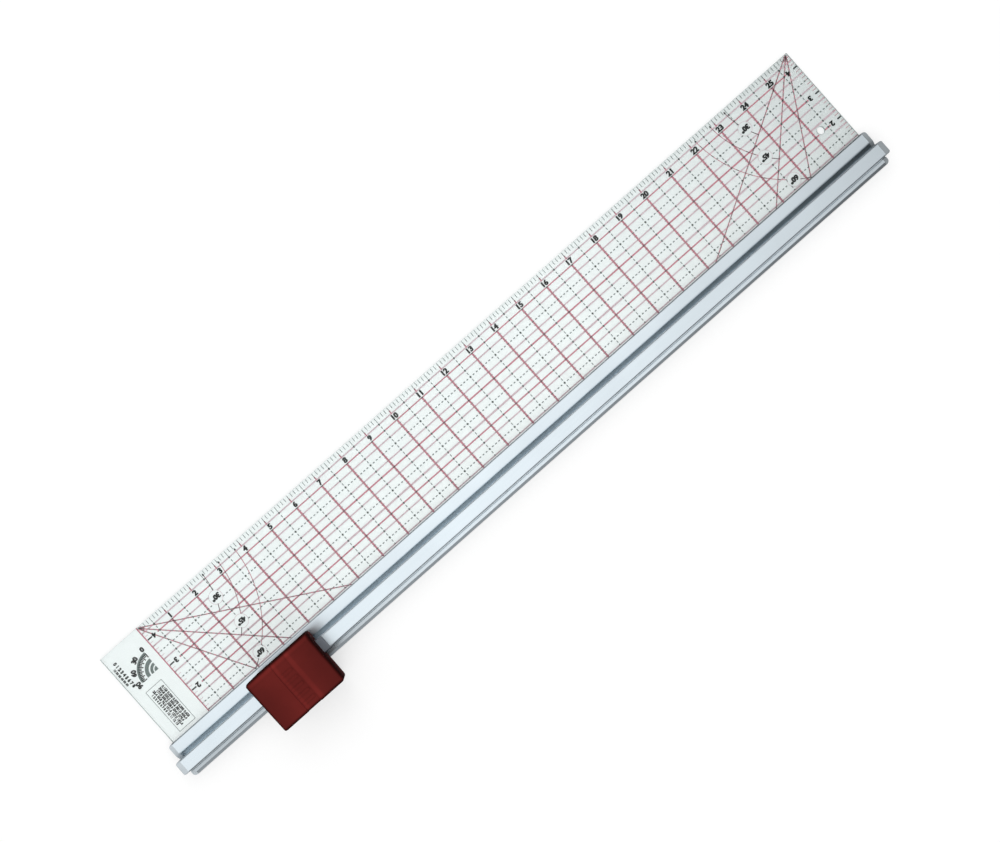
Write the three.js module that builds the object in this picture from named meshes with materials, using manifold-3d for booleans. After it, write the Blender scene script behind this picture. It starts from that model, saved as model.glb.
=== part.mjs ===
// Rotary cutting ruler. A clear graduated plate is bonded to an aluminium rail, and a
// sprung slider that carries a round blade runs on the rail's T-shaped ridge.
// Millimetres. X runs along the ruler from its zero line, Y across it from the line of
// cut towards the plate, and Z up from the table.
import * as THREE from 'three';
import { mergeVertices } from 'three/addons/utils/BufferGeometryUtils.js';
import Module from 'manifold-3d';

// Ruler plate
const scaleLength = 660.4; // 26 inches
const plateReach = 114.3; // 4.5 inches
const blankEnd = 36;
const plateThickness = 3;
const plateCornerRadius = 0.8;
const hangHoleRadius = 3;
const hangHoleFromEnd = 19.2;
const hangHoleFromCut = 52.7;

// Bond between the plate and the rail's flange
const bondThickness = 0.4;
const bondMargin = 0.8;

// Rail, an extrusion along X
const railOverrun = 1.2;
const railLift = 0.3;
const ledgeHeight = 3;
const ledgeSlope = 2.3;
const ledgeWidth = 2.6;
const cutFaceHeight = 1.2;
const ridgeCentre = 11.75;
const headWidth = 11.3;
const headTop = 15.5;
const headDepth = 7.5;
const headWall = 1.5;
const neckWidth = 6.3;
const screwPortRadius = 1.55;
const grooveWidth = 3.5;
const grooveFloorThickness = 1.6;
const grooveSlope = 3.9;
const flangeThickness = 1.6;
const flangeReach = 30.6;
const flangeBendRadius = 2.9;
const flangeTipSlope = 1;
const flangeTipRadius = 0.7;
const webThickness = 1;
const headRadius = 1.6;
const headHollowRadius = 0.5;
const railEdgeRadius = 0.3;
const neckRootRadius = 0.4;

// Non-slip strip in the rail's underside
const gripMouth = 4;
const gripFlare = 0.5;
const gripDepth = 1.2;
const gripGap = 0.1;
const gripEndMargin = 2;

// End caps
const capThickness = 3.2;
const capRidgeThickness = 4.3;
const capPlateRadius = 2.4;
const capCutRadius = 2.4;
const capRidgeRadius = 1.8;
const capTopRadius = 0.8;
const spigotLength = 12;
const capScrewLength = 14;

// Slider: how it stands on the rail
const parkedAt = 72.1;
const slideGap = 0.4;
const hookThickness = 2.4;
const runnerWall = 2.1;
const runnerEdgeRadius = 0.6;
const tonguePastCover = 3.5;
const deckThickness = 2.4;
const deckEdgeRadius = 1.2;

// Press cover
const coverPastBlade = 15.2;
const coverPastCut = 17.9;
const coverInside = 27.5;
const coverWall = 2.2;
const coverFlare = 3.2;
const coverWidening = 0.6;
const coverSlopeWidth = 6.6;
const coverSlopeDrop = 2.4;
const coverPlanRadius = 2.4;
const coverEdgeRadius = 2;
const coverGap = 0.4;
const pressTravel = 2.4;
const skirtClearance = 1.6;
const gripBandWidth = 13;
const gripBandDepth = 0.5;
const gripBarPitch = 6.4;
const gripBarWidth = 2.2;
const gripBarCount = 5;
const gripBarRadius = 0.9;
const coverNotchRadius = 1.5;
const notchGap = 0.8;

// Blade and axle
const bladeDiameter = 28;
const bladeThickness = 0.3;
const bladeBevel = 1;
const bladeLift = 2;
const bladePastCut = 0.6;
const bladeGap = 0.1;
const boltRadius = 2.5;
const boltFit = 0.15;
const boltHeadRadius = 4.25;
const washerRadius = 6.5;
const washerThickness = 0.8;
const nutRadius = 7.5;
const nutThickness = 5;
const nutFlutes = 14;
const nutFluteDepth = 0.9;

// Blade holder
const holderThickness = 2.9;
const holderTopWidth = 20;
const holderTipRadius = 7.2;
const holderFlangeThickness = 2.4;
const holderFlangeOut = 10;
const holderFlangeIn = 8;
const holderFlangeRadius = 2;
const holderScrewSpacing = 14;
const holderScrewPastCut = 6;
const holderBossHeight = 2.4;
const gussetThickness = 1.6;
const gussetHeight = 7;

// Housing below the cover
const housingWall = 2;
const footThickness = 1.6;
const footLift = 1.5;
const footToBlade = 0.75;
const guardThickness = 2;
const guardRadius = 2;
const housingRadius = 0.8;
const cavityRadius = 1.2;
const windowRadius = 2;

// Springs and guide posts
const postRadius = 2.4;
const postHeight = 12.7;
const springRadius = 3.4;
const springWireRadius = 0.35;
const springTurns = 6;
const springEndPitch = 1.25;
const springLength = 9.7;
const springBossRadius = 4.2;

// Fasteners
const fitGap = 0.2;
const retainerHeadRadius = 3.2;
const retainerHeadHeight = 2.2;
const retainerRadius = 1.9;
const retainerSocketRadius = 1.5;
const retainerBossRadius = 3.4;
const retainerPastCut = 9.5;
const screwRadius = 1.1;
const screwHeadRadius = 2.1;
const screwHeadHeight = 1.4;
const screwBossRadius = 2.6;
const guardScrewHeight = 5.2;
const guardScrewLength = 5.5;
const capScrewRadius = 1.25;
const capScrewHeadRadius = 2.6;
const crossReach = 1.3;
const crossWidth = 0.5;

// Facets
const arcStep = Math.PI / 10;
const roundSides = 24;
const bladeSides = 96;
const overcut = 1;

// Levels and places that follow from the sizes above
const plateLeft = -blankEnd;
const plateRight = scaleLength;
const railLeft = plateLeft - railOverrun;
const railRight = plateRight + railOverrun;
const flangeUnder = plateThickness + bondThickness;
const flangeTop = flangeUnder + flangeThickness;
const headUnder = headTop - headDepth;
const headOuter = ridgeCentre - headWidth / 2;
const headInner = ridgeCentre + headWidth / 2;
const grooveEdge = headInner + grooveWidth;
const webOuter = grooveEdge + webThickness;
const grooveFloor = railLift + grooveFloorThickness;
const plateInner = webOuter + slideGap;
const portHeight = (ledgeHeight + headUnder) / 2;
const runnerOuter = headOuter - slideGap - runnerWall;
const runnerInner = headInner + slideGap + runnerWall;
const deckUnder = headTop + slideGap;
const deckTop = deckUnder + deckThickness;
const hookTop = headUnder - slideGap;
const hookUnder = hookTop - hookThickness;
const coverLength = bladeDiameter + 2 * coverPastBlade;
const coverFoot = coverLength / 2 - coverFlare;
const tongueHalf = coverLength / 2 + tonguePastCover;
const housingHalf = coverFoot - coverWall - coverGap;
const guardFace = coverWall + coverGap - coverPastCut;
const housingFace = guardFace + guardThickness;
const bladeY = -bladePastCut;
const bladeFaceIn = bladeY + bladeThickness / 2;
const bladeFaceOut = bladeY - bladeThickness / 2;
const axleHeight = bladeDiameter / 2 + bladeLift;
const footEdge = bladeFaceOut - footToBlade;
const washerInFace = bladeFaceIn + bladeGap + washerThickness;
const washerOutFace = bladeFaceOut - bladeGap - washerThickness;
const holderNear = washerInFace + bladeGap;
const holderFar = holderNear + holderThickness;
const holderFlangeUnder = axleHeight + bladeDiameter / 2 + overcut;
const holderFlangeTop = holderFlangeUnder + holderFlangeThickness;
const roofUnder = holderFlangeTop + holderBossHeight;
const coverTop = roofUnder + coverWall;
const skirtBottom = flangeTop + pressTravel + skirtClearance;
const postAt = housingHalf - springBossRadius - coverGap;
const postY = runnerOuter;
const retainerAt = housingHalf - housingWall - retainerHeadRadius - slideGap;
const windowHalf = retainerAt - retainerHeadRadius - fitGap;
const springTop = deckTop + springLength;

const wasm = await Module();
wasm.setup();

// Materials
const acrylic = { color: 0xe6f1ec, roughness: 0.08, metalness: 0, transparent: true, opacity: 0.4 };
const aluminium = { color: 0xcbd6dc, roughness: 0.34, metalness: 0.9 };
const capGrey = { color: 0xaab3ba, roughness: 0.5, metalness: 0.1 };
const clearTape = { color: 0xdfe8ea, roughness: 0.6, metalness: 0 };
const gripRubber = { color: 0x3d4248, roughness: 0.9, metalness: 0 };
const coverRed = { color: 0x641f1b, roughness: 0.45, metalness: 0 };
const carriageGrey = { color: 0x777d86, roughness: 0.5, metalness: 0 };
const bladeSteel = { color: 0xc8cdd2, roughness: 0.18, metalness: 1 };
const screwSteel = { color: 0x9ea3a8, roughness: 0.3, metalness: 1 };
const springSteel = { color: 0x8d9296, roughness: 0.35, metalness: 1 };

// Outlines

// Outline through corners [u, v, radius]. A corner with a radius becomes an arc, kept
// shorter than the edges beside it.
function arcCorners(corners) {
  const points = [];
  corners.forEach(([u, v, radius = 0], index) => {
    const corner = new THREE.Vector2(u, v);
    if (radius <= 0) {
      points.push(corner);
      return;
    }
    const before = new THREE.Vector2(...corners.at(index - 1)).sub(corner);
    const after = new THREE.Vector2(...corners[(index + 1) % corners.length]).sub(corner);
    const longest = Math.min(before.length(), after.length()) * 0.49;
    before.normalize();
    after.normalize();
    const halfAngle = Math.acos(THREE.MathUtils.clamp(before.dot(after), -1, 1)) / 2;
    const tangent = Math.min(radius / Math.tan(halfAngle), longest);
    const arcRadius = tangent * Math.tan(halfAngle);
    const middle = before.clone().add(after).normalize();
    const centre = corner.clone().addScaledVector(middle, arcRadius / Math.sin(halfAngle));
    const start = before.multiplyScalar(tangent).add(corner).sub(centre).angle();
    const end = after.multiplyScalar(tangent).add(corner).sub(centre).angle();
    const sweep = THREE.MathUtils.euclideanModulo(end - start + Math.PI, 2 * Math.PI) - Math.PI;
    const steps = Math.max(1, Math.ceil(Math.abs(sweep) / arcStep));
    for (let step = 0; step <= steps; step += 1) {
      const angle = start + (sweep * step) / steps;
      const spoke = new THREE.Vector2(Math.cos(angle), Math.sin(angle));
      points.push(spoke.multiplyScalar(arcRadius).add(centre));
    }
  });
  return points;
}

function outline(corners, holes = []) {
  const shape = new THREE.Shape(arcCorners(corners));
  holes.forEach((hole) => shape.holes.push(new THREE.Path(hole)));
  return shape;
}

// Moves every edge of a counter-clockwise outline inwards by one distance.
function insetCorners(corners, distance) {
  return corners.map(([u, v, radius = 0], index) => {
    const [beforeU, beforeV] = corners.at(index - 1);
    const [afterU, afterV] = corners[(index + 1) % corners.length];
    const normalIn = new THREE.Vector2(beforeV - v, u - beforeU).normalize();
    const normalOut = new THREE.Vector2(v - afterV, afterU - u).normalize();
    const share = distance / (1 + normalIn.dot(normalOut));
    const shift = normalIn.add(normalOut).multiplyScalar(share);
    return [u + shift.x, v + shift.y, Math.max(radius - distance, 0)];
  });
}

function rectangle(u0, v0, u1, v1, radius = 0) {
  return [[u0, v0, radius], [u1, v0, radius], [u1, v1, radius], [u0, v1, radius]];
}

function circle(u, v, radius, sides = roundSides) {
  return Array.from({ length: sides }, (_, index) => {
    const angle = (2 * Math.PI * index) / sides;
    return new THREE.Vector2(u + radius * Math.cos(angle), v + radius * Math.sin(angle));
  });
}

// Solids

function solid(geometry) {
  const bare = geometry.clone();
  bare.deleteAttribute('normal');
  bare.deleteAttribute('uv');
  const merged = mergeVertices(bare, 1e-4);
  return new wasm.Manifold(new wasm.Mesh({
    numProp: 3,
    vertProperties: new Float32Array(merged.attributes.position.array),
    triVerts: new Uint32Array(merged.index.array),
  }));
}

function extrude(shape, depth) {
  return new THREE.ExtrudeGeometry(shape, { depth, bevelEnabled: false });
}

// The outline's axes are Y and Z.
function alongX(shape, from, to) {
  const turn = new THREE.Matrix4().makeBasis(
    new THREE.Vector3(0, 1, 0), new THREE.Vector3(0, 0, 1), new THREE.Vector3(1, 0, 0));
  return solid(extrude(shape, to - from).applyMatrix4(turn).translate(from, 0, 0));
}

// The outline's axes are X and Z.
function alongY(shape, from, to) {
  const turn = new THREE.Matrix4().makeBasis(
    new THREE.Vector3(1, 0, 0), new THREE.Vector3(0, 0, 1), new THREE.Vector3(0, -1, 0));
  return solid(extrude(shape, to - from).applyMatrix4(turn).translate(0, to, 0));
}

// The outline's axes are X and Y.
function alongZ(shape, from, to) {
  return solid(extrude(shape, to - from).translate(0, 0, from));
}

function rodX(y, z, radius, from, to) {
  return alongX(new THREE.Shape(circle(y, z, radius)), from, to);
}

function rodY(x, z, radius, from, to) {
  return alongY(new THREE.Shape(circle(x, z, radius)), from, to);
}

function rodZ(x, y, radius, from, to) {
  return alongZ(new THREE.Shape(circle(x, y, radius)), from, to);
}

function join(...pieces) {
  return pieces.reduce((whole, piece) => whole.add(piece));
}

function cut(body, ...tools) {
  return tools.reduce((left, tool) => left.subtract(tool), body);
}

// Ring or disc turned about Y, from [radius, y] points taken counter-clockwise round the section.
function turned(section, sides = roundSides) {
  const points = section.map(([radius, y]) => new THREE.Vector2(radius, y));
  return solid(new THREE.LatheGeometry([...points, points[0]], sides));
}

// Named sub-parts

function subpart(name, body, finish) {
  const mesh = body.getMesh();
  const geometry = new THREE.BufferGeometry();
  geometry.setAttribute('position', new THREE.BufferAttribute(mesh.vertProperties, 3));
  geometry.setIndex(new THREE.BufferAttribute(mesh.triVerts, 1));
  geometry.computeVertexNormals();
  const node = new THREE.Mesh(geometry, new THREE.MeshStandardMaterial(finish));
  node.name = name;
  return node;
}

// Ruler plate, with the hole that it hangs by
function rulerPlate() {
  const corners = rectangle(plateLeft, plateInner, plateRight, plateReach, plateCornerRadius);
  const hole = circle(plateRight - hangHoleFromEnd, hangHoleFromCut, hangHoleRadius);
  return alongZ(outline(corners, [hole]), 0, plateThickness);
}

// Double-sided strip between the plate and the flange
function bondingStrip() {
  const corners = rectangle(plateLeft + bondMargin, plateInner + bondMargin,
    plateRight - bondMargin, flangeReach - bondMargin);
  return alongZ(outline(corners), plateThickness, flangeUnder);
}

// The corners that the rail's top and an end cap's share, from the flange's tip over its
// bend to the floor of the groove beside the ridge
const flangeCorners = [
  [flangeReach, flangeTop - flangeTipSlope],
  [flangeReach - flangeTipSlope, flangeTop, flangeTipRadius],
  [grooveEdge, flangeTop, flangeBendRadius],
  [grooveEdge - grooveSlope, grooveFloor, neckRootRadius],
];

// The corners of the ridge's head that the rail and an end cap share
const headCorners = [
  [headInner, headTop, headRadius],
  [headOuter, headTop, headRadius],
];

// The corners that they share from the channel outside the ridge over the ledge to the
// line of cut
const cutEdgeCorners = [
  [ledgeSlope + ledgeWidth, grooveFloor],
  [ledgeSlope + ledgeWidth, ledgeHeight, railEdgeRadius],
  [ledgeSlope, ledgeHeight, railEdgeRadius],
  [0, cutFaceHeight],
];

const gripCorners = [
  [ridgeCentre - gripMouth / 2, railLift],
  [ridgeCentre - gripMouth / 2 - gripFlare, railLift + gripDepth],
  [ridgeCentre + gripMouth / 2 + gripFlare, railLift + gripDepth],
  [ridgeCentre + gripMouth / 2, railLift],
];

function rail() {
  const neckOuter = ridgeCentre - neckWidth / 2;
  const neckInner = ridgeCentre + neckWidth / 2;
  const section = [
    [0, railLift],
    ...gripCorners,
    [webOuter, railLift, railEdgeRadius],
    [webOuter, flangeUnder],
    [flangeReach, flangeUnder],
    ...flangeCorners,
    [neckInner, grooveFloor, neckRootRadius],
    [neckInner, headUnder],
    [headInner, headUnder, railEdgeRadius],
    ...headCorners,
    [headOuter, headUnder, railEdgeRadius],
    [neckOuter, headUnder],
    [neckOuter, grooveFloor, neckRootRadius],
    ...cutEdgeCorners,
  ];
  const hollow = rectangle(headOuter + headWall, headUnder + headWall,
    headInner - headWall, headTop - headWall, headHollowRadius);
  const port = circle(ridgeCentre, portHeight, screwPortRadius, 16);
  return alongX(outline(section, [arcCorners(hollow), port]), railLeft, railRight);
}

// Flared strip that fills the groove under the rail and stands on the table
function gripStrip() {
  const half = gripMouth / 2 - gripGap;
  const section = [
    [ridgeCentre - half, 0],
    [ridgeCentre + half, 0],
    [ridgeCentre + half, railLift],
    [ridgeCentre + half + gripFlare, railLift + gripDepth - gripGap],
    [ridgeCentre - half - gripFlare, railLift + gripDepth - gripGap],
    [ridgeCentre - half, railLift],
  ];
  return alongX(outline(section), railLeft + gripEndMargin, railRight - gripEndMargin);
}

// End cap for the rail's right end, with its inner face at x = 0. It closes the
// undercuts of the ridge, which stops the slider, and a spigot fits the ridge's hollow.
function endCap() {
  const lowSection = [
    [0, railLift], [flangeReach, railLift], ...flangeCorners, ...cutEdgeCorners,
  ];
  const lowPlan = [
    [-capThickness, 0], [capThickness, 0, capCutRadius],
    [capThickness, flangeReach, capPlateRadius], [-capThickness, flangeReach],
  ];
  const low = alongX(outline(lowSection), 0, capThickness)
    .intersect(alongZ(outline(lowPlan), 0, flangeTop + overcut));
  const ridgeSection = [[headOuter, railLift], [headInner, railLift], ...headCorners];
  const face = capRidgeThickness;
  const ridgePlan = [
    [-face, headOuter], [face, headOuter, capRidgeRadius],
    [face, headInner, capRidgeRadius], [-face, headInner],
  ];
  const ridgeSide = [
    [-face, railLift], [face, railLift], [face, headTop, capTopRadius], [-face, headTop],
  ];
  const ridge = alongX(outline(ridgeSection), 0, face)
    .intersect(alongZ(outline(ridgePlan), railLift, headTop))
    .intersect(alongY(outline(ridgeSide), headOuter - overcut, headInner + overcut));
  const spigotY = headWidth / 2 - headWall - fitGap;
  const spigotLow = headUnder + headWall + fitGap;
  const spigotHigh = headTop - headWall - fitGap;
  const spigotSection = rectangle(ridgeCentre - spigotY, spigotLow,
    ridgeCentre + spigotY, spigotHigh, headHollowRadius);
  const spigotSide = [
    [-spigotLength, spigotLow, capTopRadius], [overcut, spigotLow],
    [overcut, spigotHigh], [-spigotLength, spigotHigh, capTopRadius],
  ];
  const spigot = alongX(outline(spigotSection), -spigotLength, overcut)
    .intersect(alongY(outline(spigotSide), 0, flangeReach));
  const head = capScrewHeadRadius + fitGap;
  return cut(join(low, ridge, spigot),
    rodX(ridgeCentre, portHeight, capScrewRadius + fitGap, -overcut, face + overcut),
    rodX(ridgeCentre, portHeight, head, face - screwHeadHeight, face + overcut));
}

// Self-tapping screw of an end cap, with its head's face flush with the cap
function capScrew() {
  const face = capRidgeThickness;
  const body = join(
    rodX(ridgeCentre, portHeight, capScrewRadius, face - capScrewLength, face),
    rodX(ridgeCentre, portHeight, capScrewHeadRadius, face - screwHeadHeight + bladeGap, face));
  return cut(body, ...crossSlots().map((slot) =>
    alongX(outline(slot), face - screwHeadHeight / 2, face + overcut)
      .translate([0, ridgeCentre, portHeight])));
}

// Two crossed slots about the origin, for the heads of the small screws
function crossSlots() {
  const half = crossWidth / 2;
  return [rectangle(-crossReach, -half, crossReach, half),
    rectangle(-half, -crossReach, half, crossReach)];
}

// Slider

// Carriage: a runner with hooks under the ridge's head, whose deck ends in tongues that
// reach out below the cover, and beside it the housing that the blade works in, open on
// its outer side
function carriage() {
  const runnerSection = [
    [runnerOuter, hookUnder, runnerEdgeRadius], [runnerInner, hookUnder, runnerEdgeRadius],
    [runnerInner, deckTop, deckEdgeRadius], [runnerOuter, deckTop, deckEdgeRadius],
  ];
  const tongueSection = [
    [headOuter, deckUnder], [headInner, deckUnder],
    [headInner, deckTop, deckEdgeRadius], [headOuter, deckTop, deckEdgeRadius],
  ];
  const housingPlan = rectangle(-housingHalf, housingFace, housingHalf,
    runnerOuter + runnerWall, housingRadius);
  const inner = housingHalf - housingWall;
  const footTop = footLift + footThickness;
  const cavitySide = rectangle(-inner, footTop, inner, deckUnder, cavityRadius);
  const windowPlan = rectangle(-windowHalf, housingFace - overcut, windowHalf, runnerOuter,
    windowRadius);
  const railPassage = [
    [footEdge, footLift - overcut], [headInner, footLift - overcut],
    [headInner, ledgeHeight + slideGap], [footEdge, ledgeHeight + slideGap],
  ];
  const slotSection = [
    [headOuter - slideGap, hookTop], [ridgeCentre - neckWidth / 2 - slideGap, hookTop],
    [ridgeCentre - neckWidth / 2 - slideGap, 0], [ridgeCentre + neckWidth / 2 + slideGap, 0],
    [ridgeCentre + neckWidth / 2 + slideGap, hookTop], [headInner + slideGap, hookTop],
    [headInner + slideGap, deckUnder, runnerEdgeRadius],
    [headOuter - slideGap, deckUnder, runnerEdgeRadius],
  ];
  let body = cut(
    join(alongX(outline(runnerSection), -housingHalf, housingHalf),
      alongX(outline(tongueSection), -tongueHalf, tongueHalf),
      alongZ(outline(housingPlan), footLift, deckTop)),
    alongY(outline(cavitySide), housingFace - overcut, runnerOuter),
    alongZ(outline(windowPlan), deckUnder - overcut, deckTop + overcut),
    alongX(outline(railPassage), -housingHalf - overcut, housingHalf + overcut),
    alongX(outline(slotSection), -housingHalf - overcut, housingHalf + overcut));
  for (const side of [-1, 1]) {
    const post = rodZ(side * postAt, postY, postRadius, deckUnder + overcut, deckTop + postHeight);
    const boss = rodY(side * guardScrewAt(), guardScrewHeight, screwBossRadius,
      housingFace, housingFace + guardScrewLength + overcut);
    body = cut(join(body, post, boss),
      rodZ(side * retainerAt, -retainerPastCut, retainerRadius + fitGap,
        deckUnder - overcut, deckTop + overcut),
      rodZ(side * retainerAt, -retainerPastCut, retainerHeadRadius + fitGap,
        footLift - overcut, deckUnder),
      rodY(side * guardScrewAt(), guardScrewHeight, screwRadius + fitGap,
        housingFace - overcut, housingFace + guardScrewLength));
  }
  return body;
}

function guardScrewAt() {
  return housingHalf - screwBossRadius;
}

// Plate that closes the housing's outer side, taken off to change the blade
function bladeGuard() {
  const face = rectangle(-housingHalf, footLift, housingHalf, deckTop, guardRadius);
  const body = alongY(outline(face), guardFace, housingFace);
  const rib = alongY(outline(rectangle(-nutRadius, footLift + footThickness,
    nutRadius, footLift + 2 * footThickness)), housingFace - bladeGap, housingFace + footThickness);
  const holes = [-1, 1].flatMap((side) => [
    rodY(side * guardScrewAt(), guardScrewHeight, screwRadius + fitGap,
      guardFace - overcut, housingFace + overcut),
    rodY(side * guardScrewAt(), guardScrewHeight, screwHeadRadius + fitGap,
      guardFace - overcut, guardFace + screwHeadHeight)]);
  return cut(join(body, rib), ...holes);
}

// Screw along Y with its head's face flush with the guard
function guardScrew(side) {
  const x = side * guardScrewAt();
  const body = join(
    rodY(x, guardScrewHeight, screwHeadRadius, guardFace, guardFace + screwHeadHeight - bladeGap),
    rodY(x, guardScrewHeight, screwRadius, guardFace, housingFace + guardScrewLength - fitGap));
  return cut(body, ...crossSlots().map((slot) =>
    alongY(outline(slot), guardFace - overcut, guardFace + screwHeadHeight / 2)
      .translate([x, 0, guardScrewHeight])));
}

// The cover's outer form, or with an inset the hollow below it. Its ends lean out towards
// the top, and it widens a little towards the plate.
function coverForm(inset) {
  const half = coverFoot;
  const bottom = inset > 0 ? skirtBottom - inset - overcut : skirtBottom;
  const side = [
    [-coverPastCut, bottom], [coverInside, bottom],
    [coverInside, coverTop - coverSlopeDrop, coverEdgeRadius],
    [coverInside - coverSlopeWidth, coverTop, 2 * coverEdgeRadius],
    [-coverPastCut, coverTop, coverEdgeRadius],
  ];
  const front = [
    [-half, bottom], [half, bottom],
    [half, coverTop, coverEdgeRadius], [-half, coverTop, coverEdgeRadius],
  ];
  const plan = rectangle(-half, -coverPastCut, half, coverInside, coverPlanRadius);
  const lean = coverFlare / coverFoot / (coverTop - skirtBottom);
  const widening = coverWidening / coverFoot / (coverInside + coverPastCut);
  return alongX(outline(insetCorners(side, inset)), -half, half)
    .intersect(alongY(outline(insetCorners(front, inset)), -coverPastCut, coverInside))
    .intersect(alongZ(outline(insetCorners(plan, inset)), bottom, coverTop))
    .warp((point) => {
      point[0] *= (1 + lean * (point[2] - skirtBottom)) * (1 + widening * (point[1] + coverPastCut));
    });
}

// Sunk band across the cover's top, with plain bars for the thumb. It keeps its depth over
// the top's edges.
function gripBand() {
  const middle = (coverInside - coverSlopeWidth - coverPastCut) / 2;
  const floor = coverTop - gripBandDepth;
  const band = alongY(outline(rectangle(-gripBandWidth / 2, coverTop - 2 * coverSlopeDrop,
    gripBandWidth / 2, coverTop + overcut)), -coverPastCut - overcut, coverInside + overcut)
    .subtract(coverForm(gripBandDepth));
  const barHalf = gripBandWidth / 2 - gripBarWidth / 2;
  const bars = Array.from({ length: gripBarCount }, (_, index) => {
    const y = middle + (index - (gripBarCount - 1) / 2) * gripBarPitch;
    return alongZ(outline(rectangle(-barHalf, y - gripBarWidth / 2, barHalf,
      y + gripBarWidth / 2, gripBarRadius)), floor - overcut / 2, coverTop);
  });
  return { band, bars };
}

// Press cover: a shell whose skirt steps up over the ridge, with bosses under its roof
function pressCover() {
  const notch = [
    [headOuter - notchGap, skirtBottom - overcut], [headInner + notchGap, skirtBottom - overcut],
    [headInner + notchGap, deckTop + pressTravel + coverGap, coverNotchRadius],
    [headOuter - notchGap, deckTop + pressTravel + coverGap, coverNotchRadius],
  ];
  const notchReach = coverLength / 2 + overcut;
  const { band, bars } = gripBand();
  let body = cut(coverForm(0), coverForm(coverWall), alongX(outline(notch), -notchReach, notchReach));
  const roofInside = roofUnder + coverWall / 2;
  for (const side of [-1, 1]) {
    const retainerBoss = deckTop + pressTravel + coverGap;
    const screwX = (side * holderScrewSpacing) / 2;
    body = cut(
      join(body,
        rodZ(side * postAt, postY, springBossRadius, springTop, roofInside),
        rodZ(side * retainerAt, -retainerPastCut, retainerBossRadius, retainerBoss, roofInside),
        rodZ(screwX, -holderScrewPastCut, screwBossRadius, holderFlangeTop, roofInside)),
      rodZ(side * postAt, postY, postRadius + slideGap, springTop - overcut, roofUnder),
      rodZ(side * retainerAt, -retainerPastCut, retainerRadius + fitGap,
        retainerBoss - overcut, roofUnder),
      rodZ(screwX, -holderScrewPastCut, screwRadius + fitGap,
        holderFlangeTop - overcut, roofInside));
  }
  return join(cut(body, band), ...bars);
}

// Shoulder screw from below the deck into a boss of the cover; its head is the upper stop
function coverScrew(side) {
  const x = side * retainerAt;
  const headTopFace = deckUnder - bladeGap;
  const body = join(
    rodZ(x, -retainerPastCut, retainerHeadRadius, headTopFace - retainerHeadHeight, headTopFace),
    rodZ(x, -retainerPastCut, retainerRadius, headTopFace - overcut, roofUnder - fitGap));
  const socket = new THREE.Shape(circle(x, -retainerPastCut, retainerSocketRadius, 6));
  return cut(body, alongZ(socket, headTopFace - retainerHeadHeight - overcut,
    headTopFace - retainerHeadHeight / 2));
}

// Coil spring about a post. Its end turns lie close and are ground flat.
class SpringLine extends THREE.Curve {
  constructor(x) {
    super();
    this.x = x;
  }

  getPoint(share, target = new THREE.Vector3()) {
    const turn = share * springTurns;
    const angle = turn * 2 * Math.PI;
    const middlePitch = (springLength - 2 * springEndPitch) / (springTurns - 2);
    const ended = Math.min(turn, 1) + Math.max(turn - (springTurns - 1), 0);
    const climb = ended * springEndPitch + (turn - ended) * middlePitch;
    return target.set(this.x + springRadius * Math.cos(angle),
      postY + springRadius * Math.sin(angle), deckTop + climb);
  }
}

function coilSpring(side) {
  const line = new SpringLine(side * postAt);
  const wire = new THREE.Shape(circle(0, 0, springWireRadius, 6));
  const tube = solid(new THREE.ExtrudeGeometry(wire,
    { steps: springTurns * 14, extrudePath: line, bevelEnabled: false }));
  const slab = rodZ(side * postAt, postY, 2 * springRadius, deckTop, springTop);
  return tube.intersect(slab);
}

// Least gap between one turn of a spring and the next
function leastSpringGap() {
  const points = new SpringLine(0).getPoints(springTurns * 24);
  let least = Infinity;
  points.forEach((point, index) => {
    for (const other of points.slice(index + 12)) {
      least = Math.min(least, point.distanceTo(other));
    }
  });
  return least - 2 * springWireRadius;
}

// Holder: a tongue beside the blade under a flange that is screwed to the cover's roof
function bladeHolder() {
  const halfTop = holderTopWidth / 2;
  const tongue = [
    [halfTop, holderFlangeTop], [-halfTop, holderFlangeTop],
    [-holderTipRadius, axleHeight - holderTipRadius, holderTipRadius],
    [holderTipRadius, axleHeight - holderTipRadius, holderTipRadius],
  ];
  const flange = [
    [-halfTop, -holderFlangeOut, holderFlangeRadius],
    [halfTop, -holderFlangeOut, holderFlangeRadius],
    [halfTop, holderFlangeIn, holderFlangeRadius],
    [-halfTop, holderFlangeIn, holderFlangeRadius],
  ];
  const gusset = [
    [holderFar - overcut, holderFlangeUnder - gussetHeight],
    [holderFlangeIn - overcut, holderFlangeUnder], [holderFar - overcut, holderFlangeUnder + overcut],
  ];
  let body = join(
    alongY(outline(tongue), holderNear, holderFar),
    alongZ(outline(flange), holderFlangeUnder, holderFlangeTop));
  for (const side of [-1, 1]) {
    const edge = side * (halfTop - gussetThickness * 1.5);
    const screwX = (side * holderScrewSpacing) / 2;
    body = cut(
      join(body, alongX(outline(gusset), edge - gussetThickness / 2, edge + gussetThickness / 2)),
      rodZ(screwX, -holderScrewPastCut, screwRadius + fitGap,
        holderFlangeUnder - overcut, holderFlangeTop + overcut));
  }
  const pocket = new THREE.Shape(circle(0, axleHeight, boltHeadRadius + fitGap, 6));
  return cut(body,
    rodY(0, axleHeight, boltRadius + boltFit, holderNear - overcut, holderFar),
    alongY(pocket, boltHeadFace(), holderFar + overcut));
}

function boltHeadFace() {
  return (holderNear + holderFar) / 2;
}

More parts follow.
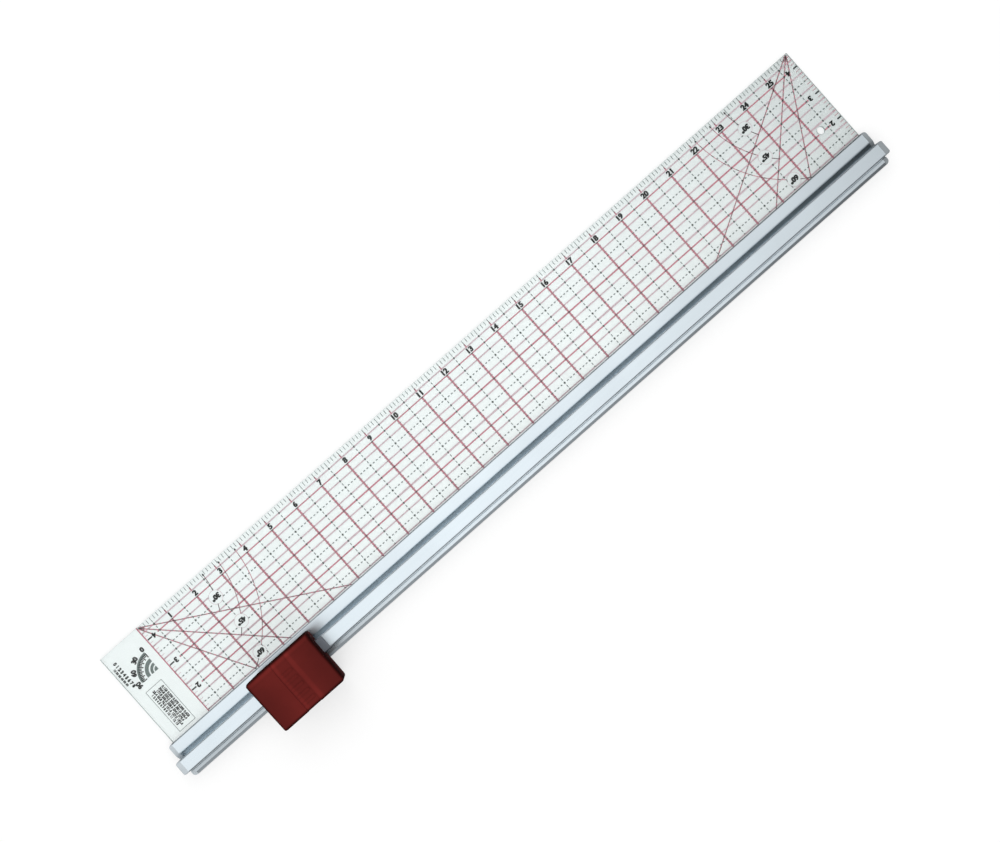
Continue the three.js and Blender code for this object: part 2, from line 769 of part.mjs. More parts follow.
// Screw from below the holder's flange into the cover's roof
function holderScrew(side) {
  const x = (side * holderScrewSpacing) / 2;
  const body = join(
    rodZ(x, -holderScrewPastCut, screwHeadRadius,
      holderFlangeUnder - screwHeadHeight, holderFlangeUnder),
    rodZ(x, -holderScrewPastCut, screwRadius, holderFlangeUnder - screwHeadHeight,
      roofUnder + coverWall / 2 - fitGap));
  return cut(body, ...crossSlots().map((slot) =>
    alongZ(outline(slot), holderFlangeUnder - screwHeadHeight - overcut,
      holderFlangeUnder - screwHeadHeight / 2).translate([x, -holderScrewPastCut, 0])));
}

// Bolt with a six-sided head that the holder's pocket keeps from turning
function axleBolt() {
  const head = new THREE.Shape(circle(0, axleHeight, boltHeadRadius, 6));
  const tip = washerOutFace - bladeGap - nutThickness - overcut;
  return join(
    alongY(head, boltHeadFace() + bladeGap, holderFar - bladeGap),
    rodY(0, axleHeight, boltRadius, tip, boltHeadFace() + overcut));
}

function washer(near, far) {
  const bore = boltRadius + boltFit;
  return turned([[bore, near], [washerRadius, near], [washerRadius, far], [bore, far]])
    .translate([0, 0, axleHeight]);
}

// Thin disc ground to a keen edge on both faces
function rotaryBlade() {
  const bore = boltRadius + boltFit;
  const radius = bladeDiameter / 2;
  return turned([
    [bore, bladeFaceOut], [radius - bladeBevel, bladeFaceOut], [radius, bladeY],
    [radius - bladeBevel, bladeFaceIn], [bore, bladeFaceIn],
  ], bladeSides).translate([0, 0, axleHeight]);
}

// Thumb nut with a fluted rim
function axleNut() {
  const perFlute = 4;
  const rim = Array.from({ length: nutFlutes * perFlute }, (_, index) => {
    const angle = (2 * Math.PI * index) / (nutFlutes * perFlute);
    const radius = nutRadius - nutFluteDepth * (1 - Math.cos(nutFlutes * angle)) / 2;
    return new THREE.Vector2(radius * Math.cos(angle), axleHeight + radius * Math.sin(angle));
  });
  const shape = new THREE.Shape(rim);
  shape.holes.push(new THREE.Path(circle(0, axleHeight, boltRadius + boltFit)));
  const near = washerOutFace - bladeGap;
  return alongY(shape, near - nutThickness, near);
}

// Assembly

const sides = [['left', -1], ['right', 1]];
const ruler = new THREE.Group();
ruler.add(
  subpart('ruler_plate', rulerPlate(), acrylic),
  subpart('bonding_strip', bondingStrip(), clearTape),
  subpart('rail', rail(), aluminium),
  subpart('grip_strip', gripStrip(), gripRubber));

for (const [name, side] of sides) {
  const end = new THREE.Group();
  const facing = (body) => (side < 0 ? body.mirror([1, 0, 0]) : body);
  end.add(
    subpart(`${name}_end_cap`, facing(endCap()), capGrey),
    subpart(`${name}_cap_screw`, facing(capScrew()), screwSteel));
  end.position.x = side < 0 ? railLeft : railRight;
  ruler.add(end);
}

const slider = new THREE.Group();
slider.position.x = parkedAt;
slider.add(
  subpart('carriage', carriage(), carriageGrey),
  subpart('blade_guard', bladeGuard(), carriageGrey),
  subpart('press_cover', pressCover(), coverRed),
  subpart('blade_holder', bladeHolder(), carriageGrey),
  subpart('axle_bolt', axleBolt(), screwSteel),
  subpart('inner_washer', washer(bladeFaceIn + bladeGap, washerInFace), screwSteel),
  subpart('rotary_blade', rotaryBlade(), bladeSteel),
  subpart('outer_washer', washer(washerOutFace, bladeFaceOut - bladeGap), screwSteel),
  subpart('axle_nut', axleNut(), carriageGrey));

for (const [name, side] of sides) {
  slider.add(
    subpart(`${name}_guard_screw`, guardScrew(side), screwSteel),
    subpart(`${name}_cover_screw`, coverScrew(side), screwSteel),
    subpart(`${name}_holder_screw`, holderScrew(side), screwSteel),
    subpart(`${name}_spring`, coilSpring(side), springSteel));
}
console.log(`least gap between spring turns: ${leastSpringGap().toFixed(2)} mm`);

// The whole stands on its bottom centre.
const product = new THREE.Group();
product.add(ruler, slider);
product.position.set(
  -(railLeft + railRight) / 2,
  -(plateReach - coverPastCut) / 2,
  0);

export default product;
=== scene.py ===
"""Rotary cutting ruler: the clear printed plate, the metal rail and the press-down slider.

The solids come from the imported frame. This add-on gives them their finishes, makes the
clear plate and the printed scale, and sets up the table, the lamps and the camera.
"""

import math

import bmesh
import bpy
from bpy.props import FloatProperty, FloatVectorProperty, IntProperty, PointerProperty
from mathutils import Matrix, Vector


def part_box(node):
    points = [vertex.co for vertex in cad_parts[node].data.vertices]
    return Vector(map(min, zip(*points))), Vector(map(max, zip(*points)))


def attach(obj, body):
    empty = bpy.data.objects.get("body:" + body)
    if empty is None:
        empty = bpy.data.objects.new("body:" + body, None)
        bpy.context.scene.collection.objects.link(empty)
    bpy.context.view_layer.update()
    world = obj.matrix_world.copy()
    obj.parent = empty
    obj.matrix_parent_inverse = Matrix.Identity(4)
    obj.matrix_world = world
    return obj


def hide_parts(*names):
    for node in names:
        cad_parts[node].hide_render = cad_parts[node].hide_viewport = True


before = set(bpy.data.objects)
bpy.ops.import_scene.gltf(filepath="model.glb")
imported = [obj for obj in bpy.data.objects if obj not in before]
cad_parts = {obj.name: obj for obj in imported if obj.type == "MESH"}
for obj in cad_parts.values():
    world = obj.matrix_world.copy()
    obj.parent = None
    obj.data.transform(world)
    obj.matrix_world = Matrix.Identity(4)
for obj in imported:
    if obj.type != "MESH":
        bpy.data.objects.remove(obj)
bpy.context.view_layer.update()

bl_info = {
    "name": "Rotary Cutting Ruler",
    "version": (1, 0, 0),
    "blender": (4, 5, 0),
    "location": "3D View > Sidebar > Ruler",
    "description": "Dresses the solids of a rotary cutting ruler and prints its inch scale",
    "category": "Object",
}

# Places that the print and the finishes are measured from, in metres, and the size of the
# printed scale, in inches
MM = 0.001
INCH = 0.0254
PLATE_LOW, PLATE_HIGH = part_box("ruler_plate")
RAIL_LOW, RAIL_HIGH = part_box("rail")
BLADE_LOW, BLADE_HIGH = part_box("rotary_blade")
BLANK_END = 36 * MM
ZERO_LINE = PLATE_LOW.x + BLANK_END
CUT_LINE = RAIL_LOW.y
SCALE_INCHES = 26
SCALE_WIDTH = 4.5
FLANGE_EDGE = 30.6 * MM
HANG_HOLE = Vector((ZERO_LINE + 641.2 * MM, CUT_LINE + 52.7 * MM))
HANG_HOLE_RADIUS = 3 * MM


def on_plate(across, up):
    """Point of the print, in metres, from inches along the scale and inches from the cut."""
    return Vector((ZERO_LINE + across * INCH, CUT_LINE + up * INCH))


def beside_zero(across, up):
    """Point of the print, in metres, from millimetres along the scale and from the cut."""
    return Vector((ZERO_LINE + across * MM, CUT_LINE + up * MM))


# Settings

# What all colour settings have in common
COLOUR = {"subtype": "COLOR", "size": 3, "min": 0, "max": 1}


class PlateSettings(bpy.types.PropertyGroup):
    """Sizes and colours of the clear plate."""

    edge_radius: FloatProperty(
        name="Edge radius", description="Rounding of the plate's polished edges",
        default=0.14 * MM, min=0.05 * MM, max=1 * MM, unit="LENGTH")
    hole_sides: IntProperty(
        name="Hole sides", description="Facets round the hang hole", default=48, min=12, max=96)
    tint: FloatVectorProperty(
        name="Tint", description="Colour of light that has passed through the plate",
        default=(0.91, 0.955, 0.95), **COLOUR)
    sawn_edge: FloatVectorProperty(
        name="Sawn edge", description="Colour of the plate's sawn side faces",
        default=(0.62, 0.7, 0.69), **COLOUR)


class PrintSettings(bpy.types.PropertyGroup):
    """Line widths and inks of the printed scale."""

    inch_line: FloatProperty(
        name="Inch line", description="Width of the line at each inch along the scale",
        default=1.5 * MM, unit="LENGTH")
    strong_line: FloatProperty(
        name="Strong line", description="Width of the lengthwise line at each whole inch",
        default=1.0 * MM, unit="LENGTH")
    fine_line: FloatProperty(
        name="Fine line", description="Width of the quarter inch lines, dashes and ticks",
        default=0.45 * MM, unit="LENGTH")
    figure_height: FloatProperty(
        name="Figure height", description="Height of the inch numbers",
        default=4.6 * MM, unit="LENGTH")
    bold: FloatProperty(
        name="Bold", description="Distance between the two printings of a bold number",
        default=0.35 * MM, unit="LENGTH")
    red_ink: FloatVectorProperty(
        name="Red ink", description="Ink of the whole inch lines",
        default=(0.67, 0.245, 0.305), **COLOUR)
    pink_ink: FloatVectorProperty(
        name="Pink ink", description="Ink of the quarter inch lines and the labels' rings",
        default=(0.76, 0.57, 0.62), **COLOUR)
    black_ink: FloatVectorProperty(
        name="Black ink", description="Ink of the numbers, the width marks and the arrows",
        default=(0.012, 0.02, 0.018), **COLOUR)
    grey_ink: FloatVectorProperty(
        name="Grey ink", description="Ink of the dashes, the small ticks and the table's frame",
        default=(0.19, 0.235, 0.225), **COLOUR)


class RailSettings(bpy.types.PropertyGroup):
    """Finish of the aluminium rail and its end caps."""

    edge_radius: FloatProperty(
        name="Edge radius", description="Softening of the extrusion's sharp edges",
        default=0.15 * MM, unit="LENGTH")
    cap_radius: FloatProperty(
        name="Cap radius", description="Rounding of the moulded end caps' edges",
        default=1.2 * MM, unit="LENGTH")
    metal: FloatVectorProperty(
        name="Metal", description="Colour of the anodised metal",
        default=(0.72, 0.80, 0.85), **COLOUR)
    cap: FloatVectorProperty(
        name="End cap", description="Colour of the end caps",
        default=(0.5, 0.55, 0.58), **COLOUR)


class SliderSettings(bpy.types.PropertyGroup):
    """Finish of the slider's moulded parts."""

    edge_radius: FloatProperty(
        name="Edge radius", description="Softening of the moulded parts' edges",
        default=0.2 * MM, unit="LENGTH")
    cover: FloatVectorProperty(
        name="Cover", description="Colour of the press cover",
        default=(0.118, 0.0125, 0.0105), **COLOUR)
    carriage: FloatVectorProperty(
        name="Carriage", description="Colour of the runner and the housing",
        default=(0.2, 0.22, 0.25), **COLOUR)


class StageSettings(bpy.types.PropertyGroup):
    """Camera and light."""

    camera_height: FloatProperty(
        name="Camera height", description="Height of the camera above the table",
        default=1.0, unit="LENGTH")
    camera_turn: FloatProperty(
        name="Camera turn", description="Turn of the camera about its own line of sight",
        default=math.radians(-41.512), unit="ROTATION")
    lens: FloatProperty(
        name="Lens", description="Focal length in millimetres", default=47.24)
    ambient: FloatProperty(
        name="Ambient", description="Level of the light from straight above", default=1.08)
    key_power: FloatProperty(
        name="Key lamp", description="Power of the lamp on the near side, in watts", default=5)
    fill_power: FloatProperty(
        name="Fill lamp", description="Power of the lamp on the far side, in watts", default=5)


class RulerSettings(bpy.types.PropertyGroup):
    """All settings of the cutting ruler."""

    plate: PointerProperty(type=PlateSettings)
    print: PointerProperty(type=PrintSettings)
    rail: PointerProperty(type=RailSettings)
    slider: PointerProperty(type=SliderSettings)
    stage: PointerProperty(type=StageSettings)


# Shader nodes


def feed(tree, node, inputs):
    """Sets a node's inputs, each to another node's output or to a plain value."""
    for label, value in inputs.items():
        if isinstance(value, bpy.types.NodeSocket):
            tree.links.new(value, node.inputs[label])
        else:
            node.inputs[label].default_value = value


def add_node(tree, kind, inputs=None, **settings):
    """Adds a shader node of a kind with its settings and inputs."""
    node = tree.nodes.new(f"ShaderNode{kind}")
    for name, value in settings.items():
        setattr(node, name, value)
    feed(tree, node, inputs or {})
    return node


def calculate(tree, operation, *values, **settings):
    """Result of an operation on outputs and plain numbers."""
    node = add_node(tree, "Math", dict(enumerate(values)), operation=operation, **settings)
    return node.outputs["Value"]


def calculate_vector(tree, operation, *values):
    """Outputs of an operation on vectors."""
    return add_node(tree, "VectorMath", dict(enumerate(values)), operation=operation).outputs


def blend(tree, share, first, second, **settings):
    """Mix of two values or of two colours."""
    inputs = {"Factor": share, "A": first, "B": second}
    return add_node(tree, "Mix", inputs, **settings).outputs["Result"]


def multiply_colours(tree, first, second):
    """Product of two colours."""
    return blend(tree, 1, first, second, data_type="RGBA", blend_type="MULTIPLY")


def map_range(tree, value, low, high, least=0, most=1, **settings):
    """Carries a value from one range over to another."""
    inputs = {"Value": value, "From Min": low, "From Max": high, "To Min": least, "To Max": most}
    return add_node(tree, "MapRange", inputs, **settings).outputs["Result"]


def add_ramp(tree, value, stops):
    """Value that runs straight from stop to stop, each a place and a level."""
    low, high = stops[0][0], stops[-1][0]
    ramp = add_node(tree, "ValToRGB", {"Fac": map_range(tree, value, low, high)})
    marks = ramp.color_ramp.elements
    for stop, (place, level) in enumerate(stops):
        if 0 < stop < len(stops) - 1:
            mark = marks.new((place - low) / (high - low))
        else:
            mark = marks[-1 if stop else 0]
        mark.color = (level, level, level, 1)
    return ramp.outputs["Color"]


def object_place(tree):
    """Point of the surface in its object's own coordinates."""
    return add_node(tree, "TexCoord").outputs["Object"]


def split_axes(tree, place):
    """X, Y and Z of a place."""
    return add_node(tree, "SeparateXYZ", {"Vector": place}).outputs


def add_noise(tree, place, scale, detail):
    """Cloudy noise from 0 to 1."""
    inputs = {"Vector": place, "Scale": scale, "Detail": detail}
    return add_node(tree, "TexNoise", inputs).outputs["Fac"]


# Node groups that several finishes share


def new_group(name, inputs, outputs):
    """Empty shader group with named inputs (name, kind, default) and outputs (name, kind)."""
    tree = bpy.data.node_groups.new(name, "ShaderNodeTree")
    for label, kind, default in inputs:
        socket = tree.interface.new_socket(label, in_out="INPUT", socket_type=f"NodeSocket{kind}")
        socket.default_value = default
    for label, kind in outputs:
        tree.interface.new_socket(label, in_out="OUTPUT", socket_type=f"NodeSocket{kind}")
    return tree, tree.nodes.new("NodeGroupInput").outputs, tree.nodes.new("NodeGroupOutput")


def mottle_group():
    """Slight changes of a colour over the surface, as of a moulded or anodised batch."""
    tree, given, out = new_group(
        "Colour mottle",
        [("Color", "Color", (0.5, 0.5, 0.5, 1)), ("Amount", "Float", 0.1), ("Scale", "Float", 40)],
        [("Color", "Color")])
    cloud = add_noise(tree, object_place(tree), given["Scale"], 4)
    share = calculate(tree, "MULTIPLY", map_range(tree, cloud, 0.3, 0.7), given["Amount"])
    darker = multiply_colours(tree, given["Color"], MOTTLE_SHADE)
    feed(tree, out, {"Color": blend(tree, share, given["Color"], darker, data_type="RGBA")})
    return tree


def grain_group():
    """Fine spark-eroded grain of a moulded surface."""
    tree, given, out = new_group(
        "Moulded grain",
        [("Scale", "Float", 2500), ("Base", "Float", 0.5), ("Spread", "Float", 0.1)],
        [("Height", "Float"), ("Roughness", "Float")])
    place = object_place(tree)
    wear = add_noise(tree, place, 90, 5)
    feed(tree, out, {
        "Height": add_noise(tree, place, given["Scale"], 3),
        "Roughness": calculate(tree, "MULTIPLY_ADD", wear, given["Spread"], given["Base"])})
    return tree


def drawn_group():
    """Fine lines along one direction, as on drawn, extruded or ground metal."""
    tree, given, out = new_group(
        "Drawn lines",
        [("Scale", "Vector", (20, 3000, 3000)), ("Base", "Float", 0.3), ("Spread", "Float", 0.1)],
        [("Height", "Float"), ("Roughness", "Float")])
    stretched = calculate_vector(tree, "MULTIPLY", object_place(tree), given["Scale"])["Vector"]
    lines = add_noise(tree, stretched, 1, 3)
    feed(tree, out, {
        "Height": lines,
        "Roughness": calculate(tree, "MULTIPLY_ADD", lines, given["Spread"], given["Base"])})
    return tree


GROUP_MAKERS = {
    "Colour mottle": mottle_group, "Moulded grain": grain_group, "Drawn lines": drawn_group}


def add_group(tree, name, **values):
    """Outputs of a shared group that is placed in a material with its inputs."""
    group = bpy.data.node_groups.get(name) or GROUP_MAKERS[name]()
    return add_node(tree, "Group", values, node_tree=group).outputs


# Finishes

# Colour that a mottled one is darkened by, and what lamps that shine through acrylic keep
MOTTLE_SHADE = (0.45, 0.45, 0.47, 1)
SHINE_THROUGH = (0.93, 0.97, 0.965, 1)
ACRYLIC_IOR = 1.49


def new_finish(name):
    """Material with a bare Principled shader, its node tree and that shader."""
    finish = bpy.data.materials.new(name)
    finish.use_nodes = True
    return finish, finish.node_tree, finish.node_tree.nodes["Principled BSDF"]


def add_bump(tree, surface, height, strength, depth):
    """Raises the surface by a height, which is 0 to 1, over a depth in metres."""
    bump = add_node(tree, "Bump", {"Height": height, "Strength": strength, "Distance": depth})
    feed(tree, surface, {"Normal": bump.outputs["Normal"]})


def coat(name, colour, amount, patches, texture, **inputs):
    """Finish of a mottled colour with the roughness of a shared texture, its node tree and
    surface, and the texture's height."""
    finish, tree, surface = new_finish(name)
    mottle = add_group(tree, "Colour mottle", Color=(*colour, 1), Amount=amount, Scale=patches)
    textured = add_group(tree, texture, **inputs)
    feed(tree, surface, {"Base Color": mottle["Color"], "Roughness": textured["Roughness"]})
    return finish, tree, surface, textured["Height"]


def moulded_finish(name, colour, roughness, specular, grain=2600, amount=0.25):
    """Moulded plastic or rubber with a fine grain and a faint mottle."""
    finish, tree, surface, height = coat(name, colour, amount, 55, "Moulded grain",
                                         Scale=grain, Base=roughness, Spread=0.12)
    feed(tree, surface, {"Specular IOR Level": specular})
    add_bump(tree, surface, height, 0.35, 0.03 * MM)
    return finish


def metal_finish(name, colour, roughness, lines, amount=0.12):
    """Bare or anodised metal with fine lines along one direction."""
    finish, tree, surface, height = coat(name, colour, amount, 18, "Drawn lines",
                                         Scale=lines, Base=roughness, Spread=0.12)
    feed(tree, surface, {"Metallic": 1})
    add_bump(tree, surface, height, 0.3, 0.01 * MM)
    return finish


def ink_finish(name, colour):
    """Screen-printed ink, a little uneven in its cover."""
    finish, tree, surface, _ = coat(name, colour, 0.3, 900, "Moulded grain",
                                    Scale=4000, Base=0.5, Spread=0.2)
    feed(tree, surface, {"Specular IOR Level": 0.2})
    return finish


def acrylic_finish(name, tint, clearness, roughness, grain):
    """Cast acrylic. Lamps shine through it, so that it throws no dark shadow."""
    finish, tree, surface = new_finish(name)
    mottle = add_group(tree, "Colour mottle", Color=(*tint, 1), Amount=0.03, Scale=grain)
    feed(tree, surface, {"Base Color": mottle["Color"], "Roughness": roughness,
                         "Transmission Weight": clearness, "IOR": ACRYLIC_IOR})
    through = add_node(tree, "BsdfTransparent", {"Color": SHINE_THROUGH})
    mix = add_node(tree, "MixShader", {
        "Fac": add_node(tree, "LightPath").outputs["Is Shadow Ray"],
        1: surface.outputs["BSDF"], 2: through.outputs["BSDF"]})
    feed(tree, tree.nodes["Material Output"], {"Surface": mix.outputs["Shader"]})
    return finish


def fed_by(surface, label):
    """Output that feeds an input of a surface."""
    return surface.inputs[label].links[0].from_socket


def tint_by(tree, shade):
    """Multiplies the colour of a finish by a shade."""
    surface = tree.nodes["Principled BSDF"]
    tinted = multiply_colours(tree, fed_by(surface, "Base Color"), shade)
    feed(tree, surface, {"Base Color": tinted})


def beside(line, stops):
    """Stops of a ramp in metres, from places in millimetres beside a line."""
    return [(line + place * MM, level) for place, level in stops]


# Softening of the solids

MERGE_DISTANCE = 0.001 * MM
FLAT_ANGLE = math.radians(0.5)
SHARP_ANGLE = math.radians(34)
FACE_WEIGHT = 80

# Radii of the strips, of the screws and washers, and of the blade and the springs
STRIP_RADIUS, SCREW_RADIUS, BLADE_RADIUS = 0.05 * MM, 0.08 * MM, 0.02 * MM


def round_edges(node, radius, segments):
    """Rounds the sharp edges of a piece and evens out its shading."""
    edge = node.modifiers.new("Soft edges", "BEVEL")
    edge.width = radius
    edge.segments = segments
    edge.limit_method = "ANGLE"
    edge.angle_limit = SHARP_ANGLE
    edge.use_clamp_overlap = True
    shade = node.modifiers.new("Even shading", "WEIGHTED_NORMAL")
    shade.weight = FACE_WEIGHT


def dress(names, finish, radius, segments=2):
    """Gives solids a finish and soft edges, and leaves their own meshes alone."""
    for name in names:
        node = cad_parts[name]
        node.data.materials.clear()
        node.data.materials.append(finish)
        node.data.shade_smooth()
        merge = node.modifiers.new("Merge", "WELD")
        merge.merge_threshold = MERGE_DISTANCE
        flat = node.modifiers.new("Flat faces", "DECIMATE")
        flat.decimate_type = "DISSOLVE"
        flat.angle_limit = FLAT_ANGLE
        round_edges(node, radius, segments)


# New pieces


def add_rectangle(shape, middle, size, turn=0):
    """Adds a flat rectangle about its middle, turned in its plane."""
    placed = (Matrix.Translation(middle) @ Matrix.Rotation(turn, 4, "Z")
              @ Matrix.Diagonal((*size, 1, 1)))
    bmesh.ops.create_grid(shape, x_segments=1, y_segments=1, size=0.5, matrix=placed)


def add_object(name, data):
    """Puts a mesh, a lamp or a camera into the scene."""
    made = bpy.data.objects.new(name, data)
    bpy.context.scene.collection.objects.link(made)
    return made


def add_shape(name, shape, finish):
    """Makes an object of a finished bmesh."""
    mesh = bpy.data.meshes.new(name)
    shape.to_mesh(mesh)
    shape.free()
    mesh.materials.append(finish)
    return add_object(name, mesh)


def new_piece(name, shape, body, finish):
    """Makes a piece of a finished bmesh and lets it ride on a body."""
    piece = add_shape(name, shape, finish)
    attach(piece, body)
    return piece


# Clear plate

CORNER_RADIUS = 0.8 * MM
CORNER_SIDES = 5


def plate_shape(settings):
    """Plate with rounded corners and a round hang hole, as one closed solid. Its side faces
    take the second finish."""
    shape = bmesh.new()
    size = PLATE_HIGH - PLATE_LOW
    middle = (PLATE_HIGH + PLATE_LOW) / 2
    add_rectangle(shape, (*middle.xy, PLATE_LOW.z), size.xy)
    bmesh.ops.bevel(shape, geom=shape.verts[:], affect="VERTICES", offset=CORNER_RADIUS,
                    segments=CORNER_SIDES, profile=0.5, material=-1)
    bmesh.ops.delete(shape, geom=shape.faces[:], context="FACES_ONLY")
    bmesh.ops.create_circle(
        shape, segments=settings.hole_sides, radius=HANG_HOLE_RADIUS,
        matrix=Matrix.Translation((*HANG_HOLE, PLATE_LOW.z)))
    bmesh.ops.triangle_fill(shape, use_beauty=True, use_dissolve=False, edges=shape.edges[:])
    bmesh.ops.dissolve_limit(shape, angle_limit=math.radians(1), verts=shape.verts[:],
                             edges=shape.edges[:])
    raised = bmesh.ops.extrude_face_region(shape, geom=shape.faces[:])
    top = [part for part in raised["geom"] if isinstance(part, bmesh.types.BMVert)]
    bmesh.ops.translate(shape, verts=top, vec=(0, 0, size.z))
    bmesh.ops.recalc_face_normals(shape, faces=shape.faces[:])
    for face in shape.faces:
        face.smooth = True
        face.material_index = int(abs(face.normal.z) < 0.5)
    return shape


class RULER_OT_clear_plate(bpy.types.Operator):
    """Makes the clear plate with its polished edges and hang hole"""

    bl_idname = "ruler.clear_plate"
    bl_label = "Clear plate"

    def execute(self, context):
        settings = context.scene.cutting_ruler.plate
        plate = new_piece("clear_plate", plate_shape(settings), "ruler",
                          acrylic_finish("clear_acrylic_finish", settings.tint, 1, 0.02, 12))
        plate.data.materials.append(
            acrylic_finish("sawn_acrylic_finish", settings.sawn_edge, 0, 0.4, 400))
        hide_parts("ruler_plate")
        round_edges(plate, settings.edge_radius, 3)
        return {"FINISHED"}


# Printed scale

# Shortest line, and the margin round the hang hole that stays clear of lines
SHORTEST_LINE = 0.2 * MM
HOLE_MARGIN = 0.6 * MM

# Radius of the clear patch round an angle label, and each label with the radius in inches and
# the angle that it stands at
LABEL_RADIUS = 5.5 * MM
ANGLE_LABELS = ((30, 2.565, 20.1), (45, 3.165, 37.4), (60, 3.785, 52.3))

# Thickening of the font's strokes, as a share of its size
FIGURE_WEIGHT = 0.045


def fan_points(side, radius, angle):
    """Point at a radius in inches and an angle below the far edge, from one of its corners."""
    turn = math.radians(angle)
    across = radius * math.cos(turn)
    return on_plate(across if side < 0 else SCALE_INCHES - across,
                    SCALE_WIDTH - radius * math.sin(turn))


def label_patches(side):
    """Patches round the angle labels at one end, kept clear of lines."""
    return [(fan_points(side, radius, angle), LABEL_RADIUS) for _, radius, angle in ANGLE_LABELS]


def clear_patches():
    """Patches round all angle labels and the hang hole, kept clear of lines."""
    return [*label_patches(-1), *label_patches(1), (HANG_HOLE, HANG_HOLE_RADIUS + HOLE_MARGIN)]


def clear_runs(start, end, holes):
    """Stretches of a straight line that keep out of round holes, as pairs of points."""
    length = (end - start).length
    along = (end - start) / length
    blocked = []
    for centre, radius in holes:
        middle = (centre - start).dot(along)
        off = (centre - start - along * middle).length
        if off < radius:
            half = math.sqrt(radius ** 2 - off ** 2)
            blocked.append((middle - half, middle + half))
    runs, reached = [], 0
    for low, high in sorted(blocked):
        if low > reached:
            runs.append((reached, min(low, length)))
        reached = max(reached, high)
    if reached < length:
        runs.append((reached, length))
    return [(start + along * low, start + along * high)
            for low, high in runs if high - low > SHORTEST_LINE]


def draw_bar(ink, start, end, width):
    """One flat bar of ink from point to point."""
    span = end - start
    add_rectangle(ink, (*(start + end) / 2, 0), (span.length, width),
                  math.atan2(span.y, span.x))


def draw_line(ink, start, end, width, holes=()):
    """Line of ink, broken where it would cross a hole."""
    for first, last in clear_runs(start, end, holes):
        draw_bar(ink, first, last, width)


def draw_dashes(ink, start, end, width, dash, pitch, holes):
    """Row of dashes centred on each step of a pitch, from the start on."""
    length = (end - start).length
    along = (end - start) / length
    for step in range(int(length / pitch + 0.5) + 1):
        low = max(step * pitch - dash / 2, 0)
        high = min(step * pitch + dash / 2, length)
        if high - low < dash / 4:
            continue
        first, last = start + along * low, start + along * high
        if all((centre - (first + last) / 2).length > radius for centre, radius in holes):
            draw_bar(ink, first, last, width)


def draw_arc(ink, centre, radius, start, end, width, steps=24):
    """Arc of ink about a centre, between two angles in degrees."""
    first = Matrix.Translation((centre.x, centre.y, 0)) @ Matrix.Rotation(
        math.radians(start), 4, "Z")
    ends = [ink.verts.new(first @ Vector((radius + side * width / 2, 0, 0)))
            for side in (-1, 1)]
    edge = ink.edges.new(ends)
    bmesh.ops.spin(ink, geom=[*ends, edge], cent=(centre.x, centre.y, 0), axis=(0, 0, 1),
                   dvec=(0, 0, 0), angle=math.radians(end - start), steps=steps,
                   use_merge=abs(end - start) == 360)


def draw_figures(ink, text, centre, height, turn=0, spread=0):
    """Numbers of a given height, centred on a point and turned in the plate's plane. They
    are printed twice, a spread apart, where their strokes are to be bolder."""
    curve = bpy.data.curves.new("figures", "FONT")
    curve.body = text
    curve.offset = FIGURE_WEIGHT
    curve.resolution_u = 3
    helper = bpy.data.objects.new("figures", curve)
    mesh = bpy.data.meshes.new_from_object(helper)
    tall = [vertex.co.y for vertex in mesh.vertices]
    wide = [vertex.co.x for vertex in mesh.vertices]
    middle = Vector(((min(wide) + max(wide)) / 2, (min(tall) + max(tall)) / 2, 0))
    scale = height / (max(tall) - min(tall))
    mesh.transform(Matrix.Translation((centre.x, centre.y, 0))
                   @ Matrix.Rotation(turn, 4, "Z") @ Matrix.Scale(scale, 4)
                   @ Matrix.Translation(-middle))
    for shift in (-spread / 2, spread) if spread else (0,):
        mesh.transform(Matrix.Translation((shift, 0, 0)))
        ink.from_mesh(mesh)
    bpy.data.objects.remove(helper)
    bpy.data.curves.remove(curve)
    bpy.data.meshes.remove(mesh)


def draw_wedge(ink, tip, along, length, width):
    """Small filled triangle with its tip at a point, widening along a direction."""
    side = Vector((-along.y, along.x))
    base = tip + along * length
    corners = [tip, base + side * width / 2, base - side * width / 2]
    ink.faces.new([ink.verts.new((point.x, point.y, 0)) for point in corners])


# Print across the plate, in inches from the line of cut: the lowest dash, the gap that the
# numbers stand in, their middle, and the inch lines' end
LOWEST_DASH = 1.25
NUMBER_GAP = (4.02, 4.235)
NUMBER_MIDDLE = 4.13
INCH_END = 4.36

# Dashes at the half inches: end in inches, width in fine lines, length in millimetres and
# pitch in inches
HALF_INCH_DASHES = ((4.32, 1.4, 2, 1 / 8), (4.3, 3, 1, 1 / 4))

# Lengthwise lines, as inches from the line of cut and weights. The red ones stop an inset
# short of the scale's ends
RED_LENGTHWISE = {4: 0.95, 3: 1.2, 2: 1.1}
RED_INSET = 0.42
PINK_LENGTHWISE = {4.25: 1, 3.75: 1, 3.25: 1, 2.75: 1, 2.25: 1.35, 1.75: 1, 1.25: 1}
DASHED_LENGTHWISE = (3.5, 2.5, 1.5)

# Ticks, in inches: the margin and the reach of those at the far edge, and the end of those
# at whole inches. The zero line and the right edge carry one at each of a range of eighths
TICK_MARGIN = 0.02
HALF_TICK, EIGHTH_TICK = 0.17, 0.13
INCH_TICK_END = 4.3
SIDE_EIGHTHS = range(10, 36)
ODD_TICK, EVEN_TICK = 0.14, 0.1
ZERO_LINE_START = 1.14

# Width marks at both ends of the scale, in inches: the bar's ends and the number's middle
WIDTH_MARKS = ((0.03, 0.2, 0.28), (SCALE_INCHES, 25.86, 25.655))

# Angle lines: the gap at the corner, and the end under the flange in inches. Their arcs: the
# start in degrees, the dashes on each stretch, and half a dash in degrees
ANGLE_START = 1.2 * MM
ANGLE_END = (FLANGE_EDGE - 0.6 * MM) / INCH
ARC_START = 3.2
ARC_DASHES = 7
ARC_DASH_HALF = 0.7


